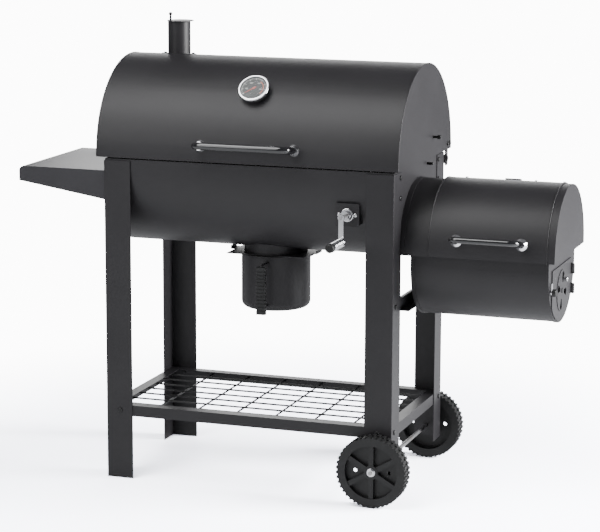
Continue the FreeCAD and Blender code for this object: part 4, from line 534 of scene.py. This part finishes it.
def lathe(work: bmesh.types.BMesh, profile: Sequence[tuple[float, float]], origin: Vector, axis: Vector,
          sides: int = 64) -> None:
    """Turns a profile about an axis.

    Args:
        work: the bmesh to add to.
        profile: pairs of a distance along the axis and a radius.
        origin: where the axis starts.
        axis: its direction.
        sides: points round the axis.
    """
    turn = Vector((0, 0, 1)).rotation_difference(axis)
    rings = []
    for along, radius in profile:
        turns = (2 * math.pi * k / sides for k in range(sides))
        points = (Vector((radius * math.cos(t), radius * math.sin(t), along)) for t in turns)
        rings.append([work.verts.new(origin + turn @ point) for point in points])
    for near, far in zip(rings, rings[1:]):
        for k in range(sides):
            work.faces.new((near[k], near[(k + 1) % sides], far[(k + 1) % sides], far[k]))
    work.faces.new(rings[0])
    work.faces.new(rings[-1])


def centre(node: str) -> Vector:
    """Middle of a CAD node's box."""
    low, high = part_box(node)
    return (Vector(low) + Vector(high)) / 2


@dataclass
class Drum:
    """The round of a lid's rolled skin that lies along X, read from its CAD node."""

    node: str
    sides: int = 10

    def radius(self) -> float:
        """Outer radius: half of the skin's depth."""
        low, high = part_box(self.node)
        return (high[1] - low[1]) / 2

    def middle(self) -> Vector:
        """A point on the drum's axis."""
        low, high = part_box(self.node)
        return Vector(((low[0] + high[0]) / 2, (low[1] + high[1]) / 2, high[2] - self.radius()))

    def seam(self, x: float, proud: float, radius: float, work: bmesh.types.BMesh) -> None:
        """Adds a rolled bead over the drum, down to the skin's edges.

        Args:
            x: where the bead lies.
            proud: how far its middle stands off the skin.
            radius: the bead's own radius.
            work: the bmesh to add to.
        """
        low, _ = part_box(self.node)
        middle, size = self.middle(), self.radius() + proud
        drop = math.degrees(math.asin(max(-1.0, min(1.0, (low[2] - middle.z) / size))))
        sweep(work, arch(x, middle, size, drop), radius, self.sides)


# ------------------------------------------------------------------ sub-assemblies
@dataclass
class Stand:
    """Legs, shelf, table and running gear."""

    def build(self) -> None:
        """Dresses the stand and its running gear."""
        dress(Finish.BODY, "leg_front_left", "leg_rear_left", "leg_front_right", "leg_rear_right",
              "shelf_rails_long", "shelf_rails_short", "crossbar")
        dress(Finish.WIRE, "shelf_wires")
        dress(Finish.BOLTS, "frame_bolts")
        dress(Finish.TABLE, "side_table")
        dress(Finish.GRATE, "axle")
        dress(Finish.CHROME, "axle_nuts")
        dress(Finish.PLASTIC, "wheel_front", "wheel_rear")


@dataclass
class Barrel:
    """Lower barrel with its grates, pan, pot holder and crank bearing."""

    def build(self) -> None:
        """Dresses the barrel's pieces."""
        dress(Finish.BODY, "barrel_shell", "barrel_end_left", "barrel_end_right", "crank_bracket",
              "pot_holder", "lid_hinge_brackets")
        dress(Finish.GRATE, "cooking_grates")
        dress(Finish.PAN, "charcoal_pan")
        dress(Finish.CHROME, "crank_bearing")


@dataclass
class Crank:
    """Crank with its flat arm and the coil-wire grip."""

    wire: float = 0.0017
    turns: int = 9
    steps: int = 26
    flange: float = 0.003
    core: float = 0.4
    rim: float = 0.8
    ease: float = 0.0004
    clear: float = 0.0002

    def build(self) -> None:
        """Dresses the crank and winds its grip."""
        dress(Finish.GRATE, "crank_shaft")
        dress(Finish.CHROME, "crank_arm")
        dress(Finish.PLASTIC, "grip_knob")
        finish_piece("grip_coil", mesh_from(self.wind, "grip_coil"), Finish.CHROME, "crank_sleeve",
                     ["crank_grip"])

    def wind(self, work: bmesh.types.BMesh) -> None:
        """Builds the sleeve, its two flanges and the coil round it.

        Args:
            work: the bmesh to add to.
        """
        low, high = (Vector(c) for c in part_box("crank_grip"))
        middle, reach = (low + high) / 2, (high.x - low.x) / 2
        length, forward = high.y - low.y, Vector((0, -1, 0))
        start = Vector((middle.x, high.y, middle.z))
        core, rim, flange = reach * self.core, reach * self.rim, self.flange
        near = [(0, rim), (self.ease, reach), (flange, reach), (flange + self.ease, core)]
        profile = near + [(length - along, radius) for along, radius in reversed(near)]
        lathe(work, profile, start, forward, 32)
        lead = flange + self.wire + self.clear
        run = length - 2 * lead
        count = self.turns * self.steps
        path = []
        for k in range(count + 1):
            turn = 2 * math.pi * k / self.steps
            spot = Vector((math.cos(turn), 0, math.sin(turn))) * (reach - self.wire)
            path.append(start + spot + forward * (lead + run * k / count))
        sweep(work, path, self.wire, 10)


@dataclass
class Thermometer:
    """Dial thermometer on the lid: printed scale with numbers, and its marks."""

    sweep_degrees: float = 256.0
    divisions: int = 40
    long_every: int = 5
    first: int = 50
    step: int = 50
    tick: float = 0.00035
    digits: float = 0.0052
    ink: float = 0.00012
    face: float = 0.0003
    widths: Range = (1.6, 0.8)          # of a long and a short tick
    starts: Range = (0.76, 0.82)        # share of the radius at which each starts
    ends: float = 0.92
    numbers_at: float = 0.54
    warm_from: float = 0.62
    warm_steps: int = 24
    warm_band: Range = (0.68, 0.73)

    def frame_axes(self) -> tuple[Vector, Vector, Vector, Vector, float]:
        """Reads the dial's place from the CAD.

        Returns:
            Its middle, its right, up and outward directions, and its radius.
        """
        joint = next(j for j in frame["joints"] if j["name"] == "thermometer_turn")
        out = -Vector(joint["axis"]).normalized()
        right = Vector((1, 0, 0))
        low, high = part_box("thermometer_dial")
        middle = centre("thermometer_dial") + out * self.face
        return middle, right, out.cross(right), out, (high[0] - low[0]) / 2

    def build(self) -> None:
        """Dresses the thermometer and prints its dial."""
        dress(Finish.CHROME, "thermometer_case")
        dress(Finish.DIAL, "thermometer_dial")
        dress(Finish.POINTER, "thermometer_pointer")
        dress(Finish.GLASS, "thermometer_glass")
        for name, build, finish in (("dial_ticks", self.ticks, Finish.MARKS),
                                    ("dial_hot_band", self.band, Finish.WARM)):
            finish_piece(name, mesh_from(build, name), finish, "main_lid", (), False)
        self.numbers()

    def turn(self, share: float) -> float:
        """Angle from upright, clockwise, of a share of the scale."""
        return math.radians(self.sweep_degrees * (share - 0.5))

    def spot(self, share: float, reach: float) -> Vector:
        """Finds a point on the dial's face.

        Args:
            share: its share of the scale.
            reach: its share of the radius.

        Returns:
            The point.
        """
        middle, right, up, _, radius = self.frame_axes()
        turn = self.turn(share)
        return middle + (right * math.sin(turn) + up * math.cos(turn)) * radius * reach

    def ticks(self, work: bmesh.types.BMesh) -> None:
        """Builds the scale's ticks.

        Args:
            work: the bmesh to add to.
        """
        _, right, up, out, _ = self.frame_axes()
        for k in range(self.divisions + 1):
            share, long = k / self.divisions, k % self.long_every == 0
            turn = self.turn(share)
            kind = 0 if long else 1
            side = (right * math.cos(turn) - up * math.sin(turn)) * self.tick * self.widths[kind]
            near, far = self.spot(share, self.starts[kind]), self.spot(share, self.ends)
            self.slab(work, [near - side, far - side, far + side, near + side], out)

    def slab(self, work: bmesh.types.BMesh, corners: Sequence[Vector], out: Vector) -> None:
        """Adds a thin closed slab over a flat outline.

        Args:
            work: the bmesh to add to.
            corners: the outline.
            out: the direction away from the dial.
        """
        low = [work.verts.new(c + out * self.ink * 0.25) for c in corners]
        high = [work.verts.new(c + out * self.ink * 1.25) for c in corners]
        work.faces.new(low)
        work.faces.new(high)
        for k in range(len(corners)):
            nxt = (k + 1) % len(corners)
            work.faces.new((low[k], low[nxt], high[nxt], high[k]))

    def band(self, work: bmesh.types.BMesh) -> None:
        """Builds the warm arc over the hot end of the scale.

        Args:
            work: the bmesh to add to.
        """
        _, _, _, out, _ = self.frame_axes()
        steps, span = self.warm_steps, 1.0 - self.warm_from
        shares = [self.warm_from + span * k / steps for k in range(steps + 1)]
        inner = [self.spot(share, self.warm_band[0]) for share in shares]
        outer = [self.spot(share, self.warm_band[1]) for share in reversed(shares)]
        self.slab(work, inner + outer, out)

    def numbers(self) -> None:
        """Prints the numbers as one piece."""
        _, right, up, out, _ = self.frame_axes()
        work = bmesh.new()
        groups = self.divisions // self.long_every
        for k in range(1, groups, 2):
            text = bpy.data.curves.new("number", "FONT")
            text.body = str(self.first + self.step * k)
            text.size = self.digits
            text.align_x, text.align_y = "CENTER", "CENTER"
            text.extrude = self.ink / 2
            holder = bpy.data.objects.new("number", text)
            mesh = bpy.data.meshes.new_from_object(holder)
            place = Matrix((right, up, out)).transposed().to_4x4()
            place.translation = self.spot(k / groups, self.numbers_at) + out * self.ink * 0.75
            mesh.transform(place)
            work.from_mesh(mesh)
            bpy.data.objects.remove(holder)
        mesh = bpy.data.meshes.new("dial_numbers")
        work.to_mesh(mesh)
        work.free()
        finish_piece("dial_numbers", mesh, Finish.MARKS, "main_lid", (), False)


@dataclass
class MainLid:
    """Domed lid with its end caps, handle, flue and thermometer."""

    bead: float = 0.0013
    inset: float = 0.0011
    sunk: float = 0.0004
    thermometer: Thermometer = field(default_factory=Thermometer)

    def build(self) -> None:
        """Dresses the lid and adds its rolled seams."""
        dress(Finish.BODY, "lid_skin", "lid_end_left", "lid_end_right", "lid_hinge_tabs", "chimney_tube",
              "chimney_cap")
        dress(Finish.BOLTS, "cap_knob", "lid_fasteners")
        dress(Finish.DARK, "lid_handle")
        dress(Finish.CHROME, "lid_rosettes")
        finish_piece("lid_seams", mesh_from(self.seams, "lid_seams"), Finish.BODY, "main_lid")
        self.thermometer.build()

    def seams(self, work: bmesh.types.BMesh) -> None:
        """Adds a bead round each end of the skin.

        Args:
            work: the bmesh to add to.
        """
        drum = Drum("lid_skin")
        low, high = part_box("lid_skin")
        for x in (low[0] + self.inset, high[0] - self.inset):
            drum.seam(x, -self.sunk, self.bead, work)


@dataclass
class Firebox:
    """Firebox with its lid, collar, ash door, air disc and latch."""

    bead: float = 0.0014
    inset: float = 0.001
    sunk: float = 0.0004

    def build(self) -> None:
        """Dresses the firebox and adds its rolled seams."""
        dress(Finish.BODY, "firebox_collar", "firebox_shell", "firebox_end_left", "firebox_end_right",
              "firebox_hinge_brackets", "firebox_lid_skin", "firebox_lid_end", "firebox_hinge_leaves",
              "ash_door", "damper_disc")
        dress(Finish.GRATE, "fire_grate")
        dress(Finish.DARK, "firebox_handle")
        dress(Finish.CHROME, "firebox_lid_fittings", "damper_knob", "latch_tongue")
        dress(Finish.PLASTIC, "latch_knob")
        finish_piece("firebox_lid_seams", mesh_from(self.lid_seams, "firebox_lid_seams"), Finish.BODY,
                     "firebox_lid")

    def lid_seams(self, work: bmesh.types.BMesh) -> None:
        """Adds a bead at both ends of the lid's skin.

        Args:
            work: the bmesh to add to.
        """
        drum = Drum("firebox_lid_skin")
        low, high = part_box("firebox_lid_skin")
        for x in (low[0] + self.inset, high[0] - self.inset):
            drum.seam(x, -self.sunk, self.bead, work)


@dataclass
class GreasePot:
    """Pot under the barrel with its ribbed grip."""

    def build(self) -> None:
        """Dresses the pot."""
        dress(Finish.BODY, "pot")
        dress(Finish.PLASTIC, "pot_grip")


@dataclass(frozen=True)
class Softbox:
    """A square lamp that faces the smoker."""

    name: str
    place: Triple
    size: float
    power: float
    aim: Triple = (0.0, 0.0, 0.7)

    def build(self) -> None:
        """Hangs the lamp."""
        data = bpy.data.lights.new(self.name, "AREA")
        data.energy, data.size = self.power, self.size
        made = bpy.data.objects.new(self.name, data)
        made.location = self.place
        aim = Vector(self.aim) - Vector(self.place)
        made.rotation_euler = aim.to_track_quat("-Z", "Y").to_euler()
        bpy.context.scene.collection.objects.link(made)


@dataclass
class Studio:
    """Pale floor, soft lights and the camera."""

    lens: float = 138.4
    sensor: float = 36.0
    yaw: float = 19.19
    pitch: float = 10.83
    roll: float = 0.18
    place: Triple = (1.8257, -5.2097, 1.5806)
    ambient: float = 0.2
    backdrop: float = 12.0
    paper: tuple[float, float, float, float] = (4.6, 4.68, 5.1, 1.0)
    floor_size: float = 14.0
    floor_clear: Range = (0.75, 1.7)
    floor_drop: float = 0.0005
    lamps: tuple[Softbox, ...] = (
        Softbox("right_softbox", (3.7, 0.6, 1.6), 1.8, 430.0),
        Softbox("overhead_softbox", (-1.0, -1.6, 3.4), 2.3, 105.0),
        Softbox("front_fill", (-2.2, -3.6, 2.1), 1.8, 45.0),
        Softbox("back_softbox", (-1.2, 4.6, 1.5), 3.0, 110.0))

    def build(self) -> None:
        """Sets up the studio."""
        self.camera()
        self.floor()
        self.sky()
        for lamp in self.lamps:
            lamp.build()

    def camera(self) -> None:
        """Places the camera."""
        data = bpy.data.cameras.new("camera")
        data.lens, data.sensor_width = self.lens, self.sensor
        data.clip_end = 100.0
        made = bpy.data.objects.new("camera", data)
        yaw = Quaternion((0, 0, 1), math.radians(self.yaw))
        pitch = Quaternion((1, 0, 0), math.radians(90.0 - self.pitch))
        turn = yaw @ pitch @ Quaternion((0, 0, 1), math.radians(self.roll))
        made.matrix_world = Matrix.Translation(self.place) @ turn.to_matrix().to_4x4()
        bpy.context.scene.collection.objects.link(made)
        bpy.context.scene.camera = made

    def floor(self) -> None:
        """Lays a pale floor that fades into the white surround."""
        half = self.floor_size / 2
        mesh = mesh_from(
            lambda work: bmesh.ops.create_grid(work, x_segments=8, y_segments=8, size=half), "floor")
        made = bpy.data.objects.new("floor", mesh)
        made.location.z = -self.floor_drop
        bpy.context.scene.collection.objects.link(made)
        shader = Shader("studio_floor", {"Base Color": (0.8, 0.81, 0.83, 1.0), "Roughness": 0.9,
                                         "Specular IOR Level": 0.1})
        bounce = Field(shader, shader.surface.outputs["BSDF"])
        seen = shader.node("ShaderNodeLightPath", {}, {}, "Is Camera Ray")
        reach = shader.node("ShaderNodeVectorMath", {"operation": "LENGTH"}, {0: shader.place}, "Value")
        paper = shader.node("ShaderNodeBsdfDiffuse", {}, {"Color": self.paper}, "BSDF")
        glow = shader.node("ShaderNodeEmission", {}, {"Strength": self.backdrop}, "Emission")
        fade = reach.between(*self.floor_clear)
        far = shader.node("ShaderNodeMixShader", {}, {0: fade, 1: paper, 2: glow})
        whole = shader.node("ShaderNodeMixShader", {}, {0: seen, 1: bounce, 2: far})
        shader.end(whole, "Material Output")
        mesh.materials.append(shader.material)

    def sky(self) -> None:
        """White surround, dimmer as a light than as a backdrop."""
        world = bpy.data.worlds.new("surround")
        world.use_nodes = True
        bpy.context.scene.world = world
        net = Network(world.node_tree)
        plain = net.tree.nodes["Background"]
        plain.inputs["Color"].default_value = (0.95, 0.97, 1.0, 1.0)
        plain.inputs["Strength"].default_value = self.ambient
        light = Field(net, plain.outputs["Background"])
        white = {"Color": (1, 1, 1, 1), "Strength": self.backdrop}
        shown = net.node("ShaderNodeBackground", {}, white)
        seen = net.node("ShaderNodeLightPath", {}, {}, "Is Camera Ray")
        net.end(net.node("ShaderNodeMixShader", {}, {0: seen, 1: light, 2: shown}), "World Output")


def main() -> None:
    """Builds the smoker's looks and the studio."""
    logging.basicConfig(level=logging.INFO, format="%(message)s")
    for part in (Stand(), Barrel(), Crank(), MainLid(), Firebox(), GreasePot(), Studio()):
        part.build()


if __name__ == "__main__":
    main()
